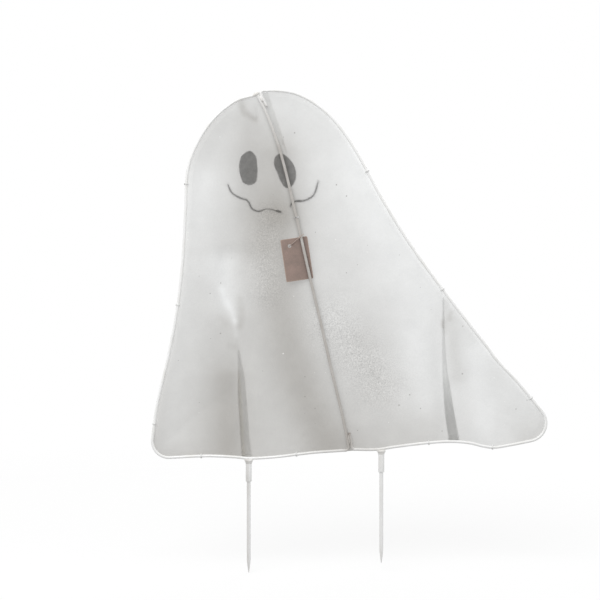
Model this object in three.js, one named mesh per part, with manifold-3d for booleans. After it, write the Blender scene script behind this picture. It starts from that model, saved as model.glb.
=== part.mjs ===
import * as THREE from 'three';
import { mergeVertices } from 'three/addons/utils/BufferGeometryUtils.js';
import Module from 'manifold-3d';

// Ghost yard stake: a cloth ghost tied to a bent wire outline, with two push-in ground stakes.
// Millimetres, +Z up, +X across. The wires lie in the plane Y = 0 and the cloth on their +Y side.
// The origin is on the soil line, midway between the stakes.

// Size of the ghost: its outline points are drawn on a field that is stretched to this
const GHOST_WIDTH = 500;
const GHOST_TOP = 490;
const FIELD_WIDTH = 500;
const FIELD_TOP = 490;

// Clearances
const SEAT_GAP = 0.3;
const BUTT_GAP = 0.6;

// Wire frame
const WIRE_DIAMETER = 3.6;
const WIRE_SIDES = 8;
const STATION_SPACING = 11;
const BEND_STEPS = 6;
const TIGHT_BEND_RADIUS = 4;
const LEFT_CORNER_RADIUS = 21;
const RIGHT_TIP_RADIUS = 23;
const UPPER_LAP_LENGTH = 21;
const LOWER_LAP_LENGTH = 17;

// Welds
const LAP_WELD_LENGTH = 7;
const TOP_WELD_LENGTH = 8;
const FOOT_WELD_LENGTH = 6;
const SOCKET_BEAD_HEIGHT = 5;
const SOCKET_BEAD_WIDTH = 2;

// Stakes and their sockets
const STAKE_SPACING = 167;
const STAKE_DIAMETER = 5;
const STAKE_LENGTH = 140;
const STAKE_POINT_LENGTH = 16;
const STAKE_POINT_DIAMETER = 0.8;
const STAKE_CLEARANCE = 0.3;
const SOCKET_LENGTH = 27;
const SOCKET_WALL = 1;
const SOCKET_END_THICKNESS = 1.5;
const ROUND_SIDES = 16;

// Cloth
const CLOTH_THICKNESS = 1;
const CLOTH_DEPTH = 12;
const CLOTH_FLAT_MARGIN = 7;
const EDGE_REACH = 90;
const BRACE_REACH = 70;
const BRACE_SHARE = 0.35;
const CLOTH_COLUMNS = 16;
const CLOTH_ROWS = 18;
const FOLD_WIDTH = 13;
const FOLD_HEIGHT = 6;
const FOLD_FADE = 40;
const PLEAT_EXTRA_LAYERS = 2;
const PLEAT_ROWS = 5;
// Slivers narrower than this are merged into the facets beside them
const SLIVER_WIDTH = 0.02;

// Face
const MOUTH_LINE_WIDTH = 2;
const MOUTH_STEPS = 14;
const EYE_STEPS = 28;

// Ties
const THREAD_DIAMETER = 0.8;
const TIES_PER_EDGE = 3;
const LAST_TIE_SHORTFALL = 0.12;
const HEM_TIE_FROM_STAKE = 60;
const WING_TIE_FROM_TIP = 87;
const TIE_STEPS = 14;
const THREAD_SIDES = 5;
const BRACE_TIE_ABOVE_KNOT = 24;

// Hang tag
const TAG_WIDTH = 34.4;
const TAG_HEIGHT = 53.8;
const TAG_THICKNESS = 0.8;
const TAG_CORNER_RADIUS = 1.5;
const TAG_HOLE_RADIUS = 2.2;
const TAG_HOLE_FROM_TOP = 9.2;
const TAG_HOLE_FROM_LEFT = 10.5;
const TAG_TILT = THREE.MathUtils.degToRad(8.5);
const TAG_KNOT_HEIGHT = 307;
const TAG_KNOT_TO_HOLE = 18.7;
const STRING_DROP = THREE.MathUtils.degToRad(40.4);
const KNOT_RADIUS = 1.2;
const STRING_SLACK = 1.8;
const STRING_STEPS = 36;

// Outline points, across and up, from the head down to the hem
const BRACE_TOP = [-73.6, 487.5];
const LEFT_EDGE = [
  [-97.7, 478.5], [-124, 458.8], [-145, 430.5], [-159.5, 394.4], [-163.3, 337.7],
  [-166.6, 277.2], [-173.4, 216.7], [-184.6, 156.2], [-198.5, 95.8],
];
const LEFT_CORNER = [-208.5, 27.2];
const LEFT_HEM = [[-136, 30.4], [-101, 29], [-83.5, 27.4], [-51.7, 29], [-3.8, 34.5]];
const FOOT = [43.2, 37.8];
const BRACE = [
  [37.4, 68.8], [21.4, 136], [7.6, 196.6], [-6.6, 256.5], [-24.6, 336.4], [-44.4, 415.8], [-62.7, 465.2],
];
const RIGHT_EDGE = [
  [-47.9, 490.6], [-27.7, 487.8], [-7.6, 479.1], [15.9, 461.7], [34.4, 440.5], [54.4, 409.6],
  [85.3, 352.8], [123, 292.3], [167, 231.8], [213.9, 171.4], [231.2, 148.7], [252.9, 126], [278.2, 95.8],
];
const RIGHT_TOP_RISE = 2.9;
const RIGHT_TIP = [310.6, 57];
const RIGHT_HEM = [
  [247.6, 44.5], [224.3, 41.1], [210.4, 43], [197.8, 46.2], [176.4, 48.4], [152.5, 47.8], [103.3, 42.3],
  [78, 38.6],
];

// Lines of the folds and pleats, from their upper end down
const LEFT_FOLD = [[-110, 285], [-114.7, 258.3], [-108.4, 218.4], [-99.5, 184], [-95, 160], [-90, 60]];
const RIGHT_FOLD = [[163, 228], [159.5, 180], [162, 130], [172, 60]];
const LEFT_PLEAT = {
  leftSide: [[-98.3, 163], [-98.2, 131], [-98, 105.5], [-97, 80.3], [-95.2, 54.2], [-92.8, 29]],
  rightSide: [[-96.6, 163], [-90, 131], [-87.2, 105.5], [-84.3, 80.3], [-82.9, 54.2], [-81.4, 29]],
};
const RIGHT_PLEAT = {
  leftSide: [[161.2, 230], [160.7, 169.5], [162.1, 137.6], [163.4, 99.5], [164.6, 74.4], [166, 49]],
  rightSide: [[163, 230], [165.5, 169.5], [169.6, 137.6], [175.4, 99.5], [177.4, 74.4], [181, 49]],
};
const TOP_PLEAT = {
  leftSide: [[-65.5, 488.5], [-60, 468], [-51, 446], [-36.5, 416]],
  rightSide: [[-59, 488.5], [-51, 464], [-43, 440], [-35.2, 416]],
};

// Face outlines
const LEFT_EYE = [
  [-82.3, 415.9], [-92.5, 409.9], [-96.1, 397.4], [-94.3, 383.6], [-90.6, 375.8], [-82.4, 372.9],
  [-75.2, 376.5], [-73.1, 385.4], [-73.2, 397.4], [-75, 408.9],
];
const RIGHT_EYE = [
  [-43.6, 412.1], [-50.2, 407.6], [-51.6, 398.1], [-47.6, 388], [-43.1, 376.9], [-36.4, 368.8],
  [-29.1, 371.3], [-24.3, 381], [-25.5, 394.6], [-33.6, 406.6],
];
const MOUTH_LEFT = [
  [-110.6, 373.7], [-105.4, 363], [-94.3, 356.2], [-85.6, 353], [-79.5, 342.6], [-71.4, 339.5],
  [-60.8, 342.3], [-42, 338.1],
];
const MOUTH_RIGHT = [
  [-31, 344.1], [-29.5, 348.6], [-25.2, 351.5], [-14.1, 352.6], [-2, 359.6], [4.6, 377.8],
];

const WIRE_RADIUS = WIRE_DIAMETER / 2;
const LAP_OFFSET = WIRE_DIAMETER + SEAT_GAP;
const CLOTH_FRONT = WIRE_RADIUS + SEAT_GAP;
const STAKE_RADIUS = STAKE_DIAMETER / 2;
const BORE_RADIUS = STAKE_RADIUS + STAKE_CLEARANCE;
const SOCKET_RADIUS = BORE_RADIUS + SOCKET_WALL;
const THREAD_RADIUS = THREAD_DIAMETER / 2;

const wasm = await Module();
wasm.setup();

// Finishes
function finish(color, roughness, metalness) {
  return () => new THREE.MeshStandardMaterial({ color, roughness, metalness });
}

const whitePaint = finish('#ece9e6', 0.35, 0.1);
const cloth = finish('#dcdcda', 0.9, 0);
const darkFelt = finish('#2b2a2a', 0.95, 0);
const kraftCard = finish('#a9805f', 0.85, 0);
const paleThread = finish('#dedad2', 0.8, 0);

// A drawn point, in the plane of the wires
function at([across, up]) {
  return new THREE.Vector3((across * GHOST_WIDTH) / FIELD_WIDTH, 0, (up * GHOST_TOP) / FIELD_TOP);
}

function asSolid(geometry) {
  geometry.deleteAttribute('normal');
  geometry.deleteAttribute('uv');
  const merged = mergeVertices(geometry);
  const vertProperties = Float32Array.from(merged.attributes.position.array);
  const triVerts = Uint32Array.from(merged.index.array);
  return new wasm.Manifold(new wasm.Mesh({ numProp: 3, vertProperties, triVerts }));
}

function asGeometry(solid) {
  const { vertProperties, triVerts } = solid.getMesh();
  const geometry = new THREE.BufferGeometry();
  geometry.setAttribute('position', new THREE.BufferAttribute(vertProperties, 3));
  geometry.setIndex(new THREE.BufferAttribute(triVerts, 1));
  geometry.computeVertexNormals();
  return geometry;
}

function part(name, geometry, material) {
  const mesh = new THREE.Mesh(geometry, material());
  mesh.name = name;
  return mesh;
}

// A path that is swept from station to station just as listed
class StationPath extends THREE.Curve {
  constructor(stations) {
    super();
    this.stations = stations;
  }

  getPointAt(share) {
    const last = this.stations.length - 1;
    return this.stations[Math.round(share * last)].clone();
  }

  getTangentAt(share) {
    const last = this.stations.length - 1;
    const here = Math.round(share * last);
    const before = this.stations[Math.max(here - 1, 0)];
    const after = this.stations[Math.min(here + 1, last)];
    return after.clone().sub(before).normalize();
  }
}

function sweep(stations, radius, sides) {
  const section = new THREE.Shape();
  section.setFromPoints(Array.from({ length: sides }, (_, side) => {
    const angle = (side * 2 * Math.PI) / sides;
    return new THREE.Vector2(radius * Math.cos(angle), radius * Math.sin(angle));
  }));
  const extrudePath = new StationPath(stations);
  return new THREE.ExtrudeGeometry(section, { steps: stations.length - 1, extrudePath, bevelEnabled: false });
}

function smoothRun(points) {
  const curve = new THREE.CatmullRomCurve3(points, false, 'centripetal');
  return curve.getSpacedPoints(Math.max(1, Math.round(curve.getLength() / STATION_SPACING)));
}

// The arc that rounds a corner of the wire
function bend(before, corner, after, radius) {
  const back = before.clone().sub(corner).normalize();
  const ahead = after.clone().sub(corner).normalize();
  const halfAngle = back.angleTo(ahead) / 2;
  const middle = back.clone().add(ahead).normalize();
  const centre = corner.clone().addScaledVector(middle, radius / Math.sin(halfAngle));
  const arm = corner.clone().addScaledVector(back, radius / Math.tan(halfAngle)).sub(centre);
  const lastArm = corner.clone().addScaledVector(ahead, radius / Math.tan(halfAngle)).sub(centre);
  const axis = arm.clone().cross(lastArm).normalize();
  const turn = arm.angleTo(lastArm);
  return Array.from({ length: BEND_STEPS + 1 }, (_, step) => {
    return arm.clone().applyAxisAngle(axis, (turn * step) / BEND_STEPS).add(centre);
  });
}

// A wire of smooth runs that meet at rounded corners: run, bend, run, bend, run
function bentWire(runs, radii) {
  const bends = radii.map((radius, index) => {
    const before = runs[index].at(-2);
    const after = runs[index + 1][1];
    return bend(before, runs[index].at(-1), after, radius);
  });
  return runs.flatMap((run, index) => {
    const points = run.slice();
    if (index > 0) points[0] = bends[index - 1].at(-1);
    if (index < bends.length) points[points.length - 1] = bends[index][0];
    return index < bends.length ? [smoothRun(points), bends[index]] : [smoothRun(points)];
  });
}

// One list of stations from the stretches of a wire, with the shared ends kept once
function joined(stretches) {
  return stretches.flatMap((stretch, index) => (index === 0 ? stretch : stretch.slice(1)));
}

// Moves a line sideways in the plane of the wires, to the right of the way it runs
function offsetLine(line, distance) {
  return line.map((point, index) => {
    const before = line[Math.max(index - 1, 0)];
    const after = line[Math.min(index + 1, line.length - 1)];
    const along = after.clone().sub(before).normalize();
    return point.clone().add(new THREE.Vector3(along.z, 0, -along.x).multiplyScalar(distance));
  });
}

// A line that can be asked for the point at any share of its length
function measured(line) {
  const path = new THREE.CurvePath();
  line.slice(1).forEach((point, index) => path.add(new THREE.LineCurve3(line[index], point)));
  return path;
}

function distanceToLine(line, point) {
  const nearest = new THREE.Vector3();
  const span = new THREE.Line3();
  return line.slice(1).reduce((least, end, index) => {
    span.set(line[index], end).closestPointToPoint(point, true, nearest);
    return Math.min(least, nearest.distanceTo(point));
  }, Infinity);
}

// The point of a line at a given height
function lineAtHeight(line, height) {
  const index = line.findIndex((point, i) => i > 0 && (point.z - height) * (line[i - 1].z - height) <= 0);
  const share = (height - line[index - 1].z) / (line[index].z - line[index - 1].z);
  return line[index - 1].clone().lerp(line[index], share);
}

// The point of the hem wire straight above a place on the ground
function hemPoint(across) {
  const index = hemLine.findIndex((point, i) => i > 0 && point.x >= across && hemLine[i - 1].x <= across);
  const share = (across - hemLine[index - 1].x) / (hemLine[index].x - hemLine[index - 1].x);
  return hemLine[index - 1].clone().lerp(hemLine[index], share);
}

// Wires: the brace and the left outline are one wire, whose start butts against the top of the brace
const braceRun = [FOOT, ...BRACE, BRACE_TOP].map(at);
const braceTopDirection = braceRun.at(-1).clone().sub(braceRun.at(-2)).normalize();
const acrossBraceTop = new THREE.Vector3(-braceTopDirection.z, 0, braceTopDirection.x);
const leftStart = braceRun.at(-1).clone()
  .addScaledVector(braceTopDirection, -WIRE_RADIUS)
  .addScaledVector(acrossBraceTop, WIRE_RADIUS + BUTT_GAP);
const leftStretches = bentWire([
  [leftStart, ...[...LEFT_EDGE, LEFT_CORNER].map(at)],
  [LEFT_CORNER, ...LEFT_HEM, FOOT].map(at),
  braceRun,
], [LEFT_CORNER_RADIUS, TIGHT_BEND_RADIUS]);
const [leftEdge, leftCorner, leftHem, footBend, brace] = leftStretches;

// The right bow's ends are lapped beside the brace
const besideBrace = offsetLine(brace, LAP_OFFSET);
const besidePath = measured(besideBrace);
const besideLength = besidePath.getLength();
const upperLapEnd = besidePath.getPointAt(1 - UPPER_LAP_LENGTH / besideLength);
const lowerLapEnd = besidePath.getPointAt(LOWER_LAP_LENGTH / besideLength);
const upperLapDirection = besideBrace.at(-1).clone().sub(upperLapEnd).normalize();
const rightTopHeight = brace.at(-1).z + RIGHT_TOP_RISE;
const rightTopCorner = upperLapEnd.clone()
  .addScaledVector(upperLapDirection, (rightTopHeight - upperLapEnd.z) / upperLapDirection.z);
const lowerLapDirection = lowerLapEnd.clone().sub(besideBrace[0]).normalize();
const rightFootHeight = at(RIGHT_HEM.at(-1)).z;
const rightFootCorner = lowerLapEnd.clone()
  .addScaledVector(lowerLapDirection, (rightFootHeight - lowerLapEnd.z) / lowerLapDirection.z);
const rightStretches = bentWire([
  [upperLapEnd, rightTopCorner],
  [rightTopCorner, ...[...RIGHT_EDGE, RIGHT_TIP].map(at)],
  [...[RIGHT_TIP, ...RIGHT_HEM].map(at), rightFootCorner],
  [rightFootCorner, lowerLapEnd],
], [TIGHT_BEND_RADIUS, RIGHT_TIP_RADIUS, TIGHT_BEND_RADIUS]);
const [, , rightEdge, rightTip, rightHem] = rightStretches;

const outlineOfLeftWire = joined([leftEdge, leftCorner, leftHem]);
const leftWire = joined(leftStretches);
const rightWire = joined(rightStretches);

function wireSolid(stations, clearance = 0) {
  return asSolid(sweep(stations, WIRE_RADIUS + clearance, WIRE_SIDES));
}

// The outline and the brace are cleared one by one, because they nearly touch where they meet
const roomForWires = [outlineOfLeftWire, joined([footBend, brace]), rightWire]
  .map((stations) => wireSolid(stations, SEAT_GAP))
  .reduce((whole, wire) => whole.add(wire));

// Cloth: rows run between the two edges of the ghost, columns from the head to the hem
const halfBend = BEND_STEPS / 2;
const clothLeft = measured(offsetLine([...leftEdge, ...leftCorner.slice(1, halfBend + 1)], WIRE_RADIUS));
const clothRight = measured(offsetLine([...rightEdge, ...rightTip.slice(1, halfBend + 1)], -WIRE_RADIUS));
const hemLine = [
  ...leftCorner.slice(halfBend), ...leftHem.slice(1),
  ...rightHem.slice(0, -1).reverse(), ...rightTip.slice(halfBend, -1).reverse(),
];
const clothHem = measured(offsetLine(hemLine, WIRE_RADIUS));
const rightSide = joined([rightEdge, rightTip]);
const outline = [...leftEdge, ...leftCorner, ...hemLine, ...rightSide.slice().reverse()];
const foldLines = [LEFT_FOLD, RIGHT_FOLD].map((points) => smoothRun(points.map(at)));

function rise(share) {
  const rest = 1 - Math.min(Math.max(share, 0), 1);
  return 1 - rest * rest;
}

// How far the cloth's wire side stands from the plane of the wires
function clothHeight(point) {
  const inside = distanceToLine(outline, point) - CLOTH_FLAT_MARGIN;
  const fromBrace = rise(distanceToLine(brace, point) / BRACE_REACH);
  const belly = CLOTH_DEPTH * rise(inside / EDGE_REACH) * (BRACE_SHARE + (1 - BRACE_SHARE) * fromBrace);
  const folds = foldLines.reduce((sum, line) => {
    const away = distanceToLine(line, point) / FOLD_WIDTH;
    return sum + FOLD_HEIGHT * Math.exp(-away * away);
  }, 0);
  return CLOTH_FRONT + belly + folds * rise(inside / FOLD_FADE);
}

function clothPoint(across, down) {
  const left = clothLeft.getPointAt(down);
  const right = clothRight.getPointAt(down);
  const hemStart = clothHem.getPointAt(0);
  const hemEnd = clothHem.getPointAt(1);
  const hemBow = clothHem.getPointAt(across).sub(hemStart.lerp(hemEnd, across));
  return left.lerp(right, across).addScaledVector(hemBow, down);
}

// Even shares from 0 to 1, with one narrow step at each marked end for the flat margin
function sharesWithMargin(count, startMargin, endMargin) {
  const inner = Array.from({ length: count - 1 }, (_, index) => {
    return startMargin + ((1 - startMargin - endMargin) * index) / (count - 2);
  });
  return startMargin > 0 ? [0, ...inner, 1] : [...inner, 1];
}

function clothGrid() {
  const height = clothLeft.getLength();
  const downs = sharesWithMargin(CLOTH_ROWS, 0, CLOTH_FLAT_MARGIN / height);
  return downs.map((down) => {
    const width = clothLeft.getPointAt(down).distanceTo(clothRight.getPointAt(down));
    const margin = Math.min(CLOTH_FLAT_MARGIN / width, 1 / CLOTH_COLUMNS);
    return sharesWithMargin(CLOTH_COLUMNS, margin, margin).map((across) => clothPoint(across, down));
  });
}

// A closed slab over a grid of points, between two distances from the grid's own height
function slab(grid, near, far) {
  const rows = grid.length;
  const columns = grid[0].length;
  const layers = [near, far].map((shift) => grid.flat().map((point) => {
    return [point.x, clothHeight(point) + shift, point.z];
  }));
  const positions = layers.flat(2);
  const faces = [];
  const vertex = (layer, row, column) => layer * rows * columns + row * columns + column;
  const quad = (a, b, c, d) => faces.push(a, b, c, a, c, d);
  for (let row = 0; row < rows - 1; row += 1) {
    for (let column = 0; column < columns - 1; column += 1) {
      const corners = [[row, column], [row + 1, column], [row + 1, column + 1], [row, column + 1]];
      quad(...corners.map((corner) => vertex(0, ...corner)));
      quad(...corners.map((corner) => vertex(1, ...corner)).reverse());
    }
  }
  for (let row = 0; row < rows - 1; row += 1) {
    const end = columns - 1;
    const next = row + 1;
    quad(vertex(0, row, 0), vertex(1, row, 0), vertex(1, next, 0), vertex(0, next, 0));
    quad(vertex(0, row, end), vertex(0, next, end), vertex(1, next, end), vertex(1, row, end));
  }
  for (let column = 0; column < columns - 1; column += 1) {
    const end = rows - 1;
    const next = column + 1;
    quad(vertex(0, 0, column), vertex(0, 0, next), vertex(1, 0, next), vertex(1, 0, column));
    quad(vertex(0, end, column), vertex(1, end, column), vertex(1, end, next), vertex(0, end, next));
  }
  const geometry = new THREE.BufferGeometry();
  geometry.setAttribute('position', new THREE.Float32BufferAttribute(positions, 3));
  geometry.setIndex(faces);
  return asSolid(geometry);
}

// A pleat is a strip of extra layers on the front of the cloth
function pleat({ leftSide, rightSide }) {
  const sides = [leftSide, rightSide].map((points) => new THREE.CatmullRomCurve3(points.map(at)));
  const grid = Array.from({ length: PLEAT_ROWS + 1 }, (_, row) => {
    return sides.map((side) => side.getPoint(row / PLEAT_ROWS));
  });
  return slab(grid, CLOTH_THICKNESS / 2, CLOTH_THICKNESS * (1 + PLEAT_EXTRA_LAYERS));
}

const plainCloth = slab(clothGrid(), 0, CLOTH_THICKNESS);

// A straight block through the cloth, over an outline in the plane of the wires
function prism(points) {
  const shape = new THREE.Shape(points.map((point) => new THREE.Vector2(point.x, point.z)));
  const depth = 4 * CLOTH_DEPTH;
  const block = new THREE.ExtrudeGeometry(shape, { depth, bevelEnabled: false });
  return asSolid(block.rotateX(Math.PI / 2).translate(0, depth, 0));
}

// Felt laid on the front of the cloth, cut to an outline
function felt(points) {
  return stitchedThrough(plainCloth.translate([0, CLOTH_THICKNESS + SEAT_GAP, 0]).intersect(prism(points)));
}

function eye(points) {
  const curve = new THREE.CatmullRomCurve3(points.map(at), true);
  return felt(curve.getSpacedPoints(EYE_STEPS).slice(1));
}

function mouth(points) {
  const line = new THREE.CatmullRomCurve3(points.map(at)).getSpacedPoints(MOUTH_STEPS);
  const half = MOUTH_LINE_WIDTH / 2;
  return felt([...offsetLine(line, half), ...offsetLine(line, -half).reverse()]);
}

// Ties: closed thread rings, square to the wire that they go round
function tieRing(place, along, frontY, backY) {
  const radius = (backY - frontY) / 2;
  const ring = new THREE.TorusGeometry(radius, THREAD_RADIUS, THREAD_SIDES, TIE_STEPS);
  const turn = new THREE.Quaternion().setFromUnitVectors(new THREE.Vector3(0, 0, 1), along);
  return ring.applyQuaternion(turn).translate(place.x, (frontY + backY) / 2, place.z);
}

const tieFront = -(WIRE_RADIUS + SEAT_GAP + THREAD_RADIUS);

// Evenly spaced ties down an edge, of which the last stops a part of a space short of the end
function placesAlong(line) {
  const path = measured(line);
  return Array.from({ length: TIES_PER_EDGE }, (_, index) => {
    const share = (index + 1) / (TIES_PER_EDGE + LAST_TIE_SHORTFALL);
    return { place: path.getPointAt(share), along: path.getTangentAt(share) };
  });
}

function placeOnHem(across) {
  const place = hemPoint(across);
  return { place, along: hemPoint(across + WIRE_DIAMETER).sub(place).normalize() };
}

function placeOnBrace(height) {
  const place = lineAtHeight(brace, height);
  return { place, along: place.clone().sub(lineAtHeight(brace, height - WIRE_DIAMETER)).normalize() };
}

const edgeTiePlaces = [
  ...placesAlong(leftEdge),
  ...placesAlong(rightEdge),
  placeOnHem(-STAKE_SPACING / 2 - HEM_TIE_FROM_STAKE),
  placeOnHem(-STAKE_SPACING / 2 + HEM_TIE_FROM_STAKE),
  placeOnHem(STAKE_SPACING / 2 + HEM_TIE_FROM_STAKE),
  placeOnHem(at(RIGHT_TIP).x - WING_TIE_FROM_TIP),
];

function tieBack(place) {
  return clothHeight(place) + CLOTH_THICKNESS + SEAT_GAP + THREAD_RADIUS;
}

function tieAt({ place, along }) {
  return tieRing(place, along, tieFront, tieBack(place));
}

// Room in the cloth where a tie goes through it
function tieHole({ place, along }) {
  const ring = new THREE.TorusGeometry(
    (tieBack(place) - tieFront) / 2, THREAD_RADIUS + SEAT_GAP, THREAD_SIDES + 1, TIE_STEPS,
  );
  const turn = new THREE.Quaternion().setFromUnitVectors(new THREE.Vector3(0, 0, 1), along);
  return asSolid(ring.applyQuaternion(turn).translate(place.x, (tieFront + tieBack(place)) / 2, place.z));
}

const braceTiePlace = placeOnBrace(TAG_KNOT_HEIGHT + BRACE_TIE_ABOVE_KNOT);
const tieHoles = [...edgeTiePlaces, braceTiePlace].map(tieHole);
function stitchedThrough(solid) {
  return tieHoles.reduce((whole, hole) => whole.subtract(hole), solid);
}

const pleats = [LEFT_PLEAT, RIGHT_PLEAT, TOP_PLEAT].map(pleat);
const pleatedCloth = pleats.reduce((whole, strip) => whole.add(strip), plainCloth);
const coverSheet = stitchedThrough(pleatedCloth).simplify(SLIVER_WIDTH);

// Weld nuggets on the wires' open side, with room for the wires cut out
function nugget(place, along, length, width) {
  const blob = new THREE.SphereGeometry(1, 12, 8);
  blob.scale(length / 2, WIRE_RADIUS, width / 2);
  const angle = Math.atan2(along.z, along.x);
  blob.rotateY(-angle).translate(place.x, -WIRE_RADIUS, place.z);
  return asSolid(blob).subtract(roomForWires);
}

const upperLapMiddle = lineAtHeight(brace, (upperLapEnd.z + braceRun.at(-1).z) / 2);
const betweenLaps = offsetLine([braceRun.at(-2), upperLapMiddle, braceRun.at(-1)], LAP_OFFSET / 2)[1];
const topJoint = leftStart.clone().lerp(braceRun.at(-1), 0.5);
const footJoint = lineAtHeight(offsetLine(brace, LAP_OFFSET / 2), lowerLapEnd.z - LOWER_LAP_LENGTH / 2);
const topWeld = nugget(topJoint, acrossBraceTop, TOP_WELD_LENGTH, WIRE_DIAMETER);
const upperLapWeld = nugget(betweenLaps, braceTopDirection, LAP_WELD_LENGTH, WIRE_DIAMETER);
const footWeld = nugget(footJoint, lowerLapDirection, FOOT_WELD_LENGTH, WIRE_DIAMETER);

// A leg: the socket hangs under the hem wire, and its stake pushes up into it
function legProfile(points) {
  return points.map(([radius, height]) => new THREE.Vector2(radius, height));
}

function socketGeometry() {
  return new THREE.LatheGeometry(legProfile([
    [0, -SOCKET_END_THICKNESS], [BORE_RADIUS, -SOCKET_END_THICKNESS], [BORE_RADIUS, -SOCKET_LENGTH],
    [SOCKET_RADIUS, -SOCKET_LENGTH], [SOCKET_RADIUS, 0], [0, 0],
  ]), ROUND_SIDES);
}

function stakeGeometry() {
  const top = -SOCKET_END_THICKNESS - SEAT_GAP;
  const tip = top - STAKE_LENGTH;
  return new THREE.LatheGeometry(legProfile([
    [0, tip], [STAKE_POINT_DIAMETER / 2, tip], [STAKE_RADIUS, tip + STAKE_POINT_LENGTH], [STAKE_RADIUS, top],
    [0, top],
  ]), ROUND_SIDES);
}

// The bead stands up round the wire on the open side, and stops under the cloth's edge behind it
function socketBead(legTop) {
  const inner = SOCKET_RADIUS + SEAT_GAP;
  const outer = inner + SOCKET_BEAD_WIDTH;
  const ring = new THREE.LatheGeometry(legProfile([
    [inner, -SOCKET_BEAD_HEIGHT], [inner + SOCKET_BEAD_WIDTH / 4, -SOCKET_BEAD_HEIGHT], [outer, -1],
    [outer, WIRE_RADIUS], [inner, WIRE_RADIUS], [inner, -SOCKET_BEAD_HEIGHT],
  ]), ROUND_SIDES);
  const behind = new THREE.BoxGeometry(4 * outer, 2 * outer, 2 * outer);
  behind.translate(0, outer + WIRE_RADIUS - SEAT_GAP, outer);
  const bead = asSolid(ring.rotateX(Math.PI / 2)).subtract(asSolid(behind));
  const room = roomForWires.translate([-legTop.x, 0, -legTop.z]);
  return bead.subtract(room);
}

function leg(side, across) {
  const group = new THREE.Group();
  group.position.set(across, 0, hemPoint(across).z - WIRE_RADIUS - SEAT_GAP);
  const upright = (geometry) => geometry.rotateX(Math.PI / 2);
  group.add(
    part(`${side}_socket`, upright(socketGeometry()), whitePaint),
    part(`${side}_socket_weld`, asGeometry(socketBead(group.position)), whitePaint),
    part(`${side}_stake`, upright(stakeGeometry()), whitePaint),
  );
  return group;
}

// Hang tag: a group at the knot on the brace, which is the point that the tag swings about
function tagGroup() {
  const knot = lineAtHeight(brace, TAG_KNOT_HEIGHT);
  const group = new THREE.Group();
  group.position.copy(knot);
  const towardHole = new THREE.Vector3(-Math.cos(STRING_DROP), 0, -Math.sin(STRING_DROP));
  const hole = towardHole.clone().multiplyScalar(TAG_KNOT_TO_HOLE);
  const card = part('hang_tag', cardGeometry(), kraftCard);
  card.position.set(hole.x, WIRE_RADIUS + SEAT_GAP, hole.z);
  card.rotation.y = -TAG_TILT;
  group.add(card, part('tag_string', stringGeometry(towardHole), paleThread));
  return group;
}

// The card's own origin is the middle of its hole, on its wire side
function cardGeometry() {
  const left = -TAG_HOLE_FROM_LEFT;
  const top = TAG_HOLE_FROM_TOP;
  const right = left + TAG_WIDTH;
  const bottom = top - TAG_HEIGHT;
  const card = new THREE.Shape();
  const corners = [[left, bottom], [right, bottom], [right, top], [left, top]];
  corners.forEach(([x, y], index) => {
    const [nextX, nextY] = corners[(index + 1) % corners.length];
    const alongX = Math.sign(nextX - x) * TAG_CORNER_RADIUS;
    const alongY = Math.sign(nextY - y) * TAG_CORNER_RADIUS;
    const startX = x + alongX;
    const startY = y + alongY;
    if (index === 0) card.moveTo(startX, startY);
    else card.quadraticCurveTo(x, y, startX, startY);
    card.lineTo(nextX - alongX, nextY - alongY);
  });
  card.quadraticCurveTo(left, bottom, left + TAG_CORNER_RADIUS, bottom);
  card.holes.push(new THREE.Path().absarc(0, 0, TAG_HOLE_RADIUS, 0, 2 * Math.PI, true));
  const settings = { depth: TAG_THICKNESS, bevelEnabled: false, curveSegments: 6 };
  return new THREE.ExtrudeGeometry(card, settings).rotateX(Math.PI / 2).translate(0, TAG_THICKNESS, 0);
}

// The string leaves its knot before the brace, goes through the card's hole and comes back behind the brace
function stringGeometry(towardHole) {
  const strand = WIRE_RADIUS + SEAT_GAP + THREAD_RADIUS;
  const knotY = -(WIRE_RADIUS + SEAT_GAP + KNOT_RADIUS);
  const behindCard = CLOTH_FRONT + TAG_THICKNESS + SEAT_GAP + THREAD_RADIUS;
  const beforeCard = CLOTH_FRONT - SEAT_GAP - THREAD_RADIUS;
  const roundBrace = strand + STRING_SLACK;
  const inHole = TAG_HOLE_RADIUS / 6;
  const route = [
    [KNOT_RADIUS, knotY],
    [TAG_KNOT_TO_HOLE / 2, beforeCard - 2 * SEAT_GAP],
    [TAG_KNOT_TO_HOLE - inHole, beforeCard],
    [TAG_KNOT_TO_HOLE + inHole, CLOTH_FRONT + TAG_THICKNESS / 2],
    [TAG_KNOT_TO_HOLE - inHole, behindCard],
    [TAG_KNOT_TO_HOLE / 2, behindCard],
    [0, behindCard],
    [-roundBrace * 0.8, strand * 0.7],
    [-roundBrace, 0],
    [-roundBrace * 0.8, -strand * 0.9],
    [KNOT_RADIUS, knotY],
  ];
  const points = route.map(([along, y]) => towardHole.clone().multiplyScalar(along).setY(y));
  const stations = new THREE.CatmullRomCurve3(points, false, 'centripetal').getSpacedPoints(STRING_STEPS);
  const knot = new THREE.IcosahedronGeometry(KNOT_RADIUS, 1).translate(...points[0].toArray());
  return asGeometry(asSolid(sweep(stations, THREAD_RADIUS, THREAD_SIDES)).add(asSolid(knot)));
}

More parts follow.
